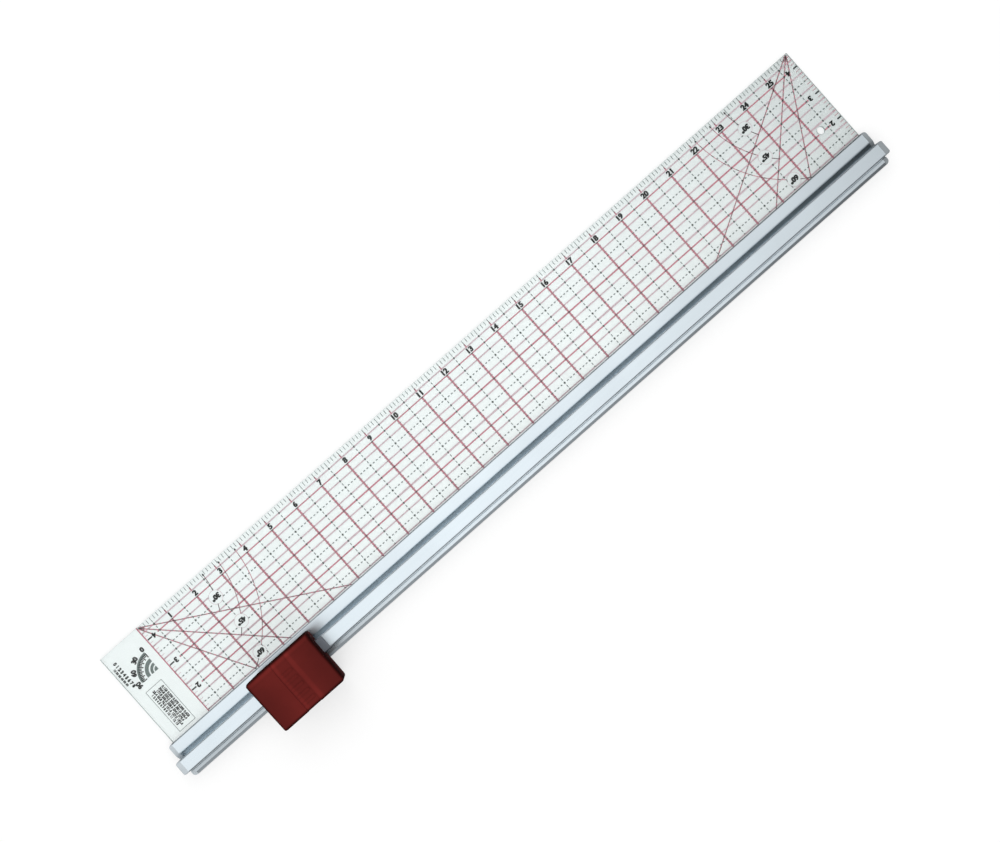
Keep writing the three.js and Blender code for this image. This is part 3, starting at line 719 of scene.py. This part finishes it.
def draw_inch_lines(inks, settings, holes):
    """Lines across the plate, red at inches and dashed at halves, and the inch numbers."""
    low = (FLANGE_EDGE - 1 * MM) / INCH
    for inch in range(1, SCALE_INCHES):
        draw_line(inks["red"], on_plate(inch, low), on_plate(inch, NUMBER_GAP[0]),
                  settings.inch_line, holes)
        draw_line(inks["red"], on_plate(inch, NUMBER_GAP[1]), on_plate(inch, INCH_END),
                  settings.strong_line)
        draw_dashes(inks["grey"], on_plate(inch, LOWEST_DASH), on_plate(inch, NUMBER_GAP[0]),
                    1.7 * settings.inch_line, settings.fine_line * 0.8, INCH / 8, holes)
        draw_figures(inks["black"], str(inch), on_plate(inch + 0.03, NUMBER_MIDDLE),
                     settings.figure_height, spread=settings.bold)
    for inch in range(SCALE_INCHES):
        for end, width, dash, pitch in HALF_INCH_DASHES:
            draw_dashes(inks["grey"], on_plate(inch + 0.5, LOWEST_DASH),
                        on_plate(inch + 0.5, end), settings.fine_line * width, dash * MM,
                        pitch * INCH, holes)


def draw_lengthwise_lines(inks, settings, holes):
    """Lines along the plate: red at whole inches, dashed at halves, pink at quarters."""
    for inch, weight in RED_LENGTHWISE.items():
        draw_line(inks["red"], on_plate(RED_INSET, inch),
                  on_plate(SCALE_INCHES - RED_INSET, inch), settings.strong_line * weight, holes)
    for inch, weight in PINK_LENGTHWISE.items():
        draw_line(inks["pink"], on_plate(0, inch), on_plate(SCALE_INCHES, inch),
                  settings.fine_line * 2.3 * weight, holes)
    for inch in DASHED_LENGTHWISE:
        draw_dashes(inks["grey"], on_plate(0, inch), on_plate(SCALE_INCHES, inch),
                    settings.fine_line * 1.7, 1.6 * MM, INCH / 8, holes)


def draw_edge_ticks(inks, settings):
    """Eighth inch ticks along the far edge, the zero line and the right edge."""
    edge = SCALE_WIDTH - TICK_MARGIN
    for eighth in range(1, SCALE_INCHES * 8):
        start = on_plate(eighth / 8, edge)
        if eighth % 8:
            reach = EIGHTH_TICK if eighth % 4 else HALF_TICK
            draw_bar(inks["grey"], start, on_plate(eighth / 8, edge - reach), settings.fine_line)
        else:
            draw_bar(inks["black"], start, on_plate(eighth / 8, INCH_TICK_END),
                     settings.fine_line * 0.9)
    draw_bar(inks["red"], on_plate(0, ZERO_LINE_START), on_plate(0, SCALE_WIDTH),
             settings.strong_line)
    for eighth in SIDE_EIGHTHS:
        reach = ODD_TICK if eighth % 2 else EVEN_TICK
        for edge, inward, ink in ((0, reach, "pink"), (SCALE_INCHES, -reach, "red")):
            draw_bar(inks[ink], on_plate(edge, eighth / 8), on_plate(edge + inward, eighth / 8),
                     settings.fine_line * 0.8)


def draw_width_marks(inks, settings):
    """Width numbers at both ends, upside down, each with a bar to the edge."""
    for inch in (4, 3, 2):
        for first, last, middle in WIDTH_MARKS:
            draw_bar(inks["black"], on_plate(first, inch), on_plate(last, inch),
                     settings.strong_line * 1.1)
            draw_figures(inks["black"], str(inch), on_plate(middle, inch),
                         settings.figure_height * 0.95, math.pi, spread=settings.bold)


def draw_angle_arcs(inks, settings, side, label, radius, angle):
    """Arc of one angle about a far corner, broken for its label, with black dashes on it."""
    corner = fan_points(side, 0, 0)
    spare = math.degrees(LABEL_RADIUS / (radius * INCH))
    for first, last in ((ARC_START, angle - spare), (angle + spare, label)):
        start, stop = (-first, -last) if side < 0 else (180 + first, 180 + last)
        draw_arc(inks["red"], corner, radius * INCH, start, stop, settings.fine_line * 1.2)
        for part in range(ARC_DASHES):
            at = start + (stop - start) * (part + 0.5) / ARC_DASHES
            draw_arc(inks["black"], corner, radius * INCH, at - ARC_DASH_HALF,
                     at + ARC_DASH_HALF, settings.fine_line, 2)


def draw_angles(inks, settings):
    """Angle lines from the far corners, with their arcs, labels and arrows."""
    for side in (-1, 1):
        corner = fan_points(side, 0, 0)
        holes = label_patches(side)
        for label, radius, angle in ANGLE_LABELS:
            reach = (SCALE_WIDTH - ANGLE_END) / math.sin(math.radians(label))
            end = fan_points(side, reach, label)
            start = corner + (end - corner).normalized() * ANGLE_START
            draw_line(inks["red"], start, end, settings.fine_line * 1.9, holes)
            draw_dashes(inks["grey"], start, end, settings.fine_line * 1.15, 2.3 * MM,
                        4.3 * MM, holes)
            centre = fan_points(side, radius, angle)
            draw_figures(inks["black"], f"{label}°", centre, settings.figure_height,
                         math.pi, spread=settings.bold * 1.2)
            draw_arc(inks["pink"], centre, LABEL_RADIUS, 0, 360, settings.fine_line * 0.6, 32)
            draw_angle_arcs(inks, settings, side, label, radius, angle)
            top = fan_points(side, radius, 3)
            draw_wedge(inks["black"], top + Vector((0, 1.6 * MM)), Vector((0, -1)), 2 * MM,
                       1.9 * MM)
        aim = Vector((-side, -1)).normalized()
        draw_wedge(inks["red"], corner + aim * ANGLE_START, aim, 5.2 * MM, 3 * MM)


# Rows of the table on the blank end: inches, the same in millimetres, and eighths of an inch
BLANK_END_NUMBERS = (
    "1 2 3 4 5 6 7 8 9 10 11 12 13", "25.4 50.8 76.2 101.6 127.0 152.4",
    "177.8 203.2 228.6 254.0 279.4", "304.8 330.2 355.6 381.0 406.4",
    "0.125 0.250 0.375 0.500 0.625")

# Two corners of the table's frame, and the dial's hub, in millimetres from the zero line and
# from the line of cut
FRAME_LOW, FRAME_HIGH = (-27, 33.4), (-11.4, 72.6)
DIAL_HUB = (-7.5, 80)

# The dial, in millimetres from its hub: the marks' outer ends, the numbers' middles, and its
# arcs with their widths in strong lines
DIAL_RADIUS = 15.5
DIAL_NUMBERS = 19.3
DIAL_ARCS = ((DIAL_RADIUS, 2.2), (9, 3), (5.2, 2.2), (1.6, 3))

# Rows of numbers left of the dial, with their places and heights in millimetres
DIAL_ROWS = (("0 1 2 3 4 5 6 7 8", -22.6, 2.9), ("10 20 30 40 50 60", -26, 1.8))
DIAL_ROWS_MIDDLE = 13.5


def draw_number_table(inks, settings):
    """Framed table on the blank end, of inches in millimetres and eighths of an inch."""
    (left, low), (right, high) = FRAME_LOW, FRAME_HIGH
    corners = [beside_zero(across, up)
               for across, up in ((left, low), (right, low), (right, high), (left, high))]
    for first, last in zip(corners, corners[1:] + corners[:1]):
        draw_bar(inks["grey"], first, last, settings.fine_line * 0.8)
    for row, numbers in enumerate(BLANK_END_NUMBERS, 1):
        across = left + (right - left) * row / (len(BLANK_END_NUMBERS) + 1)
        draw_figures(inks["black"], numbers, beside_zero(across, (low + high) / 2), 2.1 * MM,
                     -math.pi / 2, spread=0.7 * settings.bold)


def draw_dial(inks, settings):
    """Small angle dial on the blank end, with two rows of numbers beside it."""
    hub = beside_zero(*DIAL_HUB)
    for degrees in range(90, 181, 5):
        turn = math.radians(degrees)
        aim = Vector((math.cos(turn), math.sin(turn)))
        reach = 4 if degrees % 15 == 0 else 2.6
        draw_bar(inks["black"], hub + aim * (DIAL_RADIUS - reach) * MM,
                 hub + aim * DIAL_RADIUS * MM, settings.fine_line * 1.8)
        if degrees % 30 == 0:
            draw_figures(inks["black"], str(degrees - 90), hub + aim * DIAL_NUMBERS * MM,
                         4.2 * MM, math.radians(degrees - 90), spread=settings.bold)
    for radius, width in DIAL_ARCS:
        draw_arc(inks["grey"], hub, radius * MM, 90, 180, width * settings.strong_line)
    for numbers, across, tall in DIAL_ROWS:
        draw_figures(inks["black"], numbers, hub + Vector((across, DIAL_ROWS_MIDDLE)) * MM,
                     tall * MM, -math.pi / 2, spread=settings.bold)


# Height of the lowest ink above the plate's underside, and the step up to the next one
PRINT_LIFT, PRINT_STEP = 0.03 * MM, 0.012 * MM


class RULER_OT_printed_scale(bpy.types.Operator):
    """Prints the inch grid, the angle lines and the numbers on the plate's underside"""

    bl_idname = "ruler.printed_scale"
    bl_label = "Printed scale"

    def execute(self, context):
        settings = context.scene.cutting_ruler.print
        inks = {name: bmesh.new() for name in ("pink", "red", "grey", "black")}
        holes = clear_patches()
        draw_inch_lines(inks, settings, holes)
        draw_lengthwise_lines(inks, settings, holes)
        draw_edge_ticks(inks, settings)
        draw_width_marks(inks, settings)
        draw_angles(inks, settings)
        draw_number_table(inks, settings)
        draw_dial(inks, settings)
        for layer, (name, ink) in enumerate(inks.items()):
            height = PLATE_LOW.z + PRINT_LIFT + PRINT_STEP * layer
            bmesh.ops.translate(ink, verts=ink.verts[:], vec=(0, 0, height))
            ink.normal_update()
            bmesh.ops.reverse_faces(ink, faces=[face for face in ink.faces if face.normal.z < 0])
            new_piece(f"{name}_print", ink, "ruler",
                      ink_finish(f"{name}_ink", getattr(settings, f"{name}_ink")))
        return {"FINISHED"}


# Rail, caps and strips

# Painted light and shade on the end caps: lighter at the ruler's left end and darker at its right
# end
CAP_PAINTED_LEVELS = (1.16, 0.6)

# Painted shade in the groove and along the flange's tip, deepening towards the ruler's right end,
# and on the ledge beside the parked slider, each along the rail, as places in metres and levels,
# and across it, as places in millimetres from the line of cut and levels
RAIL_PAINTED_SHADE = (
    (((-0.35, 0), (0.05, 0.03), (0.24, 0.32), (0.29, 0.5), (0.35, 0.58)),
     ((17.1, 0), (18.3, 1), (20.4, 1), (22.4, 0), (29.9, 0), (30.4, 1))),
    (((-0.35, 0.31), (-0.2, 0.31), (-0.15, 0.14), (-0.08, 0)),
     ((1.6, 0), (2.4, 1), (6.1, 1), (7, 0))))


def rail_finish(colour):
    """Anodised metal, with painted shade in its groove and along the flange's tip towards the
    ruler's right end, and on the ledge beside the slider.
    """
    finish = metal_finish("anodised_aluminium", colour, 0.28, (14, 2600, 2600))
    tree = finish.node_tree
    axes = split_axes(tree, object_place(tree))
    for along, across in RAIL_PAINTED_SHADE:
        # Painted shade: the metal's colour is darkened where the groove, flange tip and ledge lie
        # in shade
        painted_shade = calculate(tree, "MULTIPLY", add_ramp(tree, axes["X"], along),
                         add_ramp(tree, axes["Y"], beside(CUT_LINE, across)))
        tint_by(tree, calculate(tree, "SUBTRACT", 1, painted_shade))
    return finish


def cap_finish(colour):
    """Grey moulded plastic, with painted light at the ruler's left end and painted shade at its
    right end.
    """
    finish = moulded_finish("cap_plastic", colour, 0.42, 0.4)
    tree = finish.node_tree
    # Painted light and shade along the ruler, standing in for the light falling off to the right
    painted_levels = ((RAIL_LOW.x, CAP_PAINTED_LEVELS[0]), (RAIL_HIGH.x, CAP_PAINTED_LEVELS[1]))
    tint_by(tree, add_ramp(tree, split_axes(tree, object_place(tree))["X"], painted_levels))
    return finish


class RULER_OT_rail(bpy.types.Operator):
    """Finishes the rail, its end caps and the strips below it"""

    bl_idname = "ruler.rail"
    bl_label = "Rail and end caps"

    def execute(self, context):
        settings = context.scene.cutting_ruler.rail
        dress(["rail"], rail_finish(settings.metal), settings.edge_radius)
        dress(["left_end_cap", "right_end_cap"], cap_finish(settings.cap), settings.cap_radius, 3)
        tape = moulded_finish("bonding_tape", (0.62, 0.66, 0.67), 0.55, 0.3, 1800, 0.15)
        dress(["bonding_strip"], tape, STRIP_RADIUS)
        rubber = moulded_finish("grip_rubber", (0.035, 0.04, 0.045), 0.8, 0.3, 1500, 0.3)
        dress(["grip_strip"], rubber, STRIP_RADIUS)
        return {"FINISHED"}


# Slider

# Painted light on the cover's colour across it and from its near side to its far side, as places
# in millimetres from its middle and levels: painted highlights along the grip band's edges and on
# the far slope, and painted shade towards the sides and the near and far edges
PAINTED_LIGHT_ACROSS = (
    (-29.6, 0.84), (-24, 0.93), (-10.5, 1.13), (-6.2, 1.14), (-5.2, 1.34), (-3.8, 1.34),
    (-2.6, 1.1), (6.4, 1.1), (7.6, 1.34), (9.6, 1.34), (11.2, 1.02), (16.5, 0.95), (29.6, 0.76))
PAINTED_LIGHT_ALONG = (
    (-22.7, 0.95), (-19, 1.05), (-8, 1), (14, 1), (17.5, 1.04), (19, 1.3), (20.6, 1.3), (22.7, 0.8))

# The cover's rim: the distances from its sides where it starts and ends, its painted shade, and how
# much rougher it is
RIM_START, RIM_END = 0.4 * MM, 2.8 * MM
RIM_PAINTED_SHADE = 0.26
RIM_ROUGHNESS = 0.55


def edge_distance(tree, axes, low, high):
    """Distance from a point to the nearest of the four upright sides of a box."""
    sides = (("X", low.x, 1), ("X", high.x, -1), ("Y", low.y, 1), ("Y", high.y, -1))
    nearest, *others = [calculate(tree, "MULTIPLY_ADD", axes[axis], inward, -inward * limit)
                        for axis, limit, inward in sides]
    for inset in others:
        nearest = calculate(tree, "MINIMUM", nearest, inset)
    return nearest


def cover_finish(colour):
    """Red moulded plastic, with painted highlights along both edges of its grip band and on its
    far slope, painted shade towards its sides, and painted shade and more roughness round its rim."""
    finish = moulded_finish("cover_plastic", colour, 0.55, 0.06, 2200, 0.3)
    tree = finish.node_tree
    surface = tree.nodes["Principled BSDF"]
    low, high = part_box("press_cover")
    middle = (low + high) / 2
    axes = split_axes(tree, object_place(tree))
    # Painted light: highlights on the grip band's edges and far slope, shade towards the sides
    painted_light = calculate(tree, "MULTIPLY",
                       add_ramp(tree, axes["X"], beside(middle.x, PAINTED_LIGHT_ACROSS)),
                       add_ramp(tree, axes["Y"], beside(middle.y, PAINTED_LIGHT_ALONG)))
    # Painted shade round the rim, which also makes the rim rougher
    inside = map_range(tree, edge_distance(tree, axes, low, high), RIM_START, RIM_END,
                       RIM_PAINTED_SHADE, 1, interpolation_type="SMOOTHSTEP")
    tint_by(tree, calculate(tree, "MULTIPLY", painted_light, inside))
    smoother = calculate(tree, "MULTIPLY_ADD", inside, RIM_ROUGHNESS, -RIM_ROUGHNESS)
    rough = calculate(tree, "SUBTRACT", fed_by(surface, "Roughness"), smoother)
    feed(tree, surface, {"Roughness": rough})
    return finish


class RULER_OT_press_cover(bpy.types.Operator):
    """Finishes the red press cover"""

    bl_idname = "ruler.press_cover"
    bl_label = "Press cover"

    def execute(self, context):
        settings = context.scene.cutting_ruler.slider
        dress(["press_cover"], cover_finish(settings.cover), settings.edge_radius, 3)
        return {"FINISHED"}


class RULER_OT_carriage(bpy.types.Operator):
    """Finishes the runner, the housing, the blade holder and the thumb nut"""

    bl_idname = "ruler.carriage"
    bl_label = "Carriage"

    def execute(self, context):
        settings = context.scene.cutting_ruler.slider
        grey = moulded_finish("carriage_plastic", settings.carriage, 0.48, 0.25, 2400)
        dress(["carriage", "blade_guard", "blade_holder", "axle_nut"], grey, settings.edge_radius)
        return {"FINISHED"}


def blade_finish():
    """Ground tool steel, its marks running round the axle."""
    finish, tree, surface = new_finish("blade_steel_finish")
    centred = add_node(tree, "Mapping", {"Vector": object_place(tree),
                                         "Location": -(BLADE_LOW + BLADE_HIGH) / 2})
    flat = calculate_vector(tree, "MULTIPLY", centred.outputs["Vector"], (1, 0, 1))["Vector"]
    reach = calculate_vector(tree, "LENGTH", flat)["Value"]
    rings = add_node(tree, "TexNoise", {"W": reach, "Scale": 4200},
                     noise_dimensions="1D").outputs["Fac"]
    mottle = add_group(tree, "Colour mottle", Color=(0.66, 0.68, 0.7, 1), Amount=0.15, Scale=220)
    feed(tree, surface, {"Base Color": mottle["Color"], "Metallic": 1,
                         "Roughness": map_range(tree, rings, 0, 1, 0.14, 0.3)})
    add_bump(tree, surface, rings, 0.25, 0.005 * MM)
    return finish


class RULER_OT_steel_parts(bpy.types.Operator):
    """Finishes the blade, its axle and washers, the screws and the springs"""

    bl_idname = "ruler.steel_parts"
    bl_label = "Blade, screws and springs"

    def execute(self, context):
        dress(["rotary_blade"], blade_finish(), BLADE_RADIUS, 1)
        plated = metal_finish("plated_steel", (0.5, 0.52, 0.54), 0.26, (900, 900, 300), 0.2)
        screws = [f"{side}_{kind}" for side in ("left", "right")
                  for kind in ("cap_screw", "guard_screw", "cover_screw", "holder_screw")]
        dress([*screws, "axle_bolt", "inner_washer", "outer_washer"], plated, SCREW_RADIUS)
        wire = metal_finish("spring_wire", (0.42, 0.44, 0.46), 0.3, (700, 700, 2400), 0.2)
        dress(["left_spring", "right_spring"], wire, BLADE_RADIUS, 1)
        return {"FINISHED"}


# Stage

# Surroundings in gloss, as directions and levels: the level along the ruler, and the share of
# it at the horizon, which rises to the whole between two upward directions
SKY_LEVEL = ((-0.6, 0.95), (-0.34, 1.15), (-0.2, 1.12), (-0.1, 1.27), (0.09, 1.36),
             (0.24, 1.02), (0.31, 0.56), (0.6, 0.38))
SKY_HORIZON = ((-0.4, 0.27), (0.1, 0.21), (0.3, 0.02), (0.4, 0))
SKY_RISE = (0.25, 0.78)

# Share of the ambient light that comes from the horizon
HORIZON_SHARE = 0.35

# The table: its colour, its colour in metal, its painted shade below the plate as places along
# the ruler and levels, the glow that keeps it white from near to far, and its size
TABLE_COLOUR, TABLE_IN_METAL = (0.48, 0.48, 0.48, 1), (0.2, 0.2, 0.21, 1)
PAINTED_SHADE_BELOW_PLATE = ((0.1, 1), (0.29, 0.68), (0.35, 0.5))
GLOW_NEAR, GLOW_FAR = 0.6, 2.5
GLOW_LEVELS = (0.53, 0.8)
TABLE_SIZE = (24, 24)
TABLE_DROP = 0.3 * MM

# Places of the lamps and the camera, in metres, and the sensor's width in millimetres
KEY_PLACE, FILL_PLACE = (-0.35, -1.25, 1.35), (0.35, 1.25, 1.35)
LAMP_SIDE = 1.1
CAMERA_PLACE = (-0.11 * MM, 0.69 * MM)
SENSOR_WIDTH = 36


def add_world(settings):
    """White surroundings that light the ruler from above. In gloss they fall off towards
    the ruler's right end and towards the horizon, as round a lamp tent's opening."""
    world = bpy.data.worlds.new("Studio")
    world.use_nodes = True
    bpy.context.scene.world = world
    tree = world.node_tree
    ray = add_node(tree, "LightPath").outputs
    clear = calculate(tree, "MAXIMUM", ray["Is Camera Ray"], ray["Is Transmission Ray"])
    axes = split_axes(tree, add_node(tree, "TexCoord").outputs["Generated"])
    upward = map_range(tree, axes["Z"], *SKY_RISE, add_ramp(tree, axes["X"], SKY_HORIZON))
    gloss = calculate(tree, "MULTIPLY", add_ramp(tree, axes["X"], SKY_LEVEL), upward)
    plain = map_range(tree, axes["Z"], 0, 1, HORIZON_SHARE * settings.ambient, settings.ambient)
    level = blend(tree, clear, blend(tree, ray["Is Glossy Ray"], plain, gloss), 1)
    feed(tree, tree.nodes["Background"], {"Color": (1, 1, 1, 1), "Strength": level})


def table_finish():
    """Matt white table that shows as plain white, out to its far edge, and keeps the
    ruler's shadow. It is darker in metal, and seen through the plate it carries a painted shade
    that deepens towards the plate's right end."""
    finish, tree, surface = new_finish("table_white")
    ray = add_node(tree, "LightPath").outputs
    through = ray["Is Transmission Ray"]
    place = object_place(tree)
    mirrored = calculate(tree, "SUBTRACT", ray["Is Glossy Ray"], through, use_clamp=True)
    # Painted shade on the table below the plate, deepening towards its right end
    below = calculate(tree, "MULTIPLY", through,
                      add_ramp(tree, split_axes(tree, place)["X"], PAINTED_SHADE_BELOW_PLATE))
    shown = calculate(tree, "MAXIMUM", ray["Is Camera Ray"], below)
    reach = calculate_vector(tree, "LENGTH", place)["Value"]
    glow = map_range(tree, reach, GLOW_NEAR, GLOW_FAR, *GLOW_LEVELS)
    feed(tree, surface, {
        "Base Color": blend(tree, mirrored, TABLE_COLOUR, TABLE_IN_METAL, data_type="RGBA"),
        "Roughness": 0.9, "Specular IOR Level": 0, "Emission Color": (1, 1, 1, 1),
        "Emission Strength": calculate(tree, "MULTIPLY", shown, glow)})
    return finish


def add_lamp(name, place, power):
    """Square soft lamp aimed at the ruler's middle. It isn't mirrored, so that it leaves no
    streak along the rail's edges."""
    lamp = bpy.data.lights.new(name, "AREA")
    lamp.shape = "SQUARE"
    lamp.size = LAMP_SIDE
    lamp.energy = power
    holder = add_object(name, lamp)
    holder.location = place
    holder.rotation_euler = (-Vector(place)).to_track_quat("-Z", "Y").to_euler()
    holder.visible_glossy = False


def add_table():
    """Wide table just below the ruler."""
    shape = bmesh.new()
    add_rectangle(shape, (0, 0, -TABLE_DROP), TABLE_SIZE)
    table = add_shape("table", shape, table_finish())


def add_camera(settings):
    """Camera straight above the middle of the ruler, turned about its line of sight."""
    lens = bpy.data.cameras.new("camera")
    lens.lens = settings.lens
    lens.sensor_width = SENSOR_WIDTH
    camera = add_object("camera", lens)
    camera.location = (*CAMERA_PLACE, settings.camera_height)
    camera.rotation_euler = (0, 0, settings.camera_turn)
    bpy.context.scene.camera = camera


class RULER_OT_stage(bpy.types.Operator):
    """Sets up the table, the lamps, the surroundings and the camera"""

    bl_idname = "ruler.stage"
    bl_label = "Stage"

    def execute(self, context):
        settings = context.scene.cutting_ruler.stage
        add_table()
        add_lamp("key_lamp", KEY_PLACE, settings.key_power)
        add_lamp("fill_lamp", FILL_PLACE, settings.fill_power)
        add_world(settings)
        add_camera(settings)
        context.scene.view_settings.view_transform = "Standard"
        return {"FINISHED"}


class RULER_PT_sidebar(bpy.types.Panel):
    """Sizes, colours and steps of the cutting ruler"""

    bl_label = "Cutting ruler"
    bl_idname = "RULER_PT_sidebar"
    bl_space_type = "VIEW_3D"
    bl_region_type = "UI"
    bl_category = "Ruler"

    def draw(self, context):
        settings = context.scene.cutting_ruler
        for part, steps in PANEL_STEPS:
            box = self.layout.box()
            group = getattr(settings, part)
            for label in group.__annotations__:
                box.prop(group, label)
            for step in steps:
                box.operator(step.bl_idname)


PANEL_STEPS = (
    ("plate", (RULER_OT_clear_plate,)),
    ("print", (RULER_OT_printed_scale,)),
    ("rail", (RULER_OT_rail,)),
    ("slider", (RULER_OT_press_cover, RULER_OT_carriage, RULER_OT_steel_parts)),
    ("stage", (RULER_OT_stage,)),
)
CLASSES = (
    PlateSettings, PrintSettings, RailSettings, SliderSettings, StageSettings, RulerSettings,
    *(step for _, steps in PANEL_STEPS for step in steps), RULER_PT_sidebar)


def register():
    for kind in CLASSES:
        bpy.utils.register_class(kind)
    bpy.types.Scene.cutting_ruler = PointerProperty(type=RulerSettings)


def unregister():
    del bpy.types.Scene.cutting_ruler
    for kind in reversed(CLASSES):
        bpy.utils.unregister_class(kind)


def main():
    register()
    bpy.ops.ruler.clear_plate()
    bpy.ops.ruler.printed_scale()
    bpy.ops.ruler.rail()
    bpy.ops.ruler.press_cover()
    bpy.ops.ruler.carriage()
    bpy.ops.ruler.steel_parts()
    bpy.ops.ruler.stage()


if __name__ == "__main__":
    main()
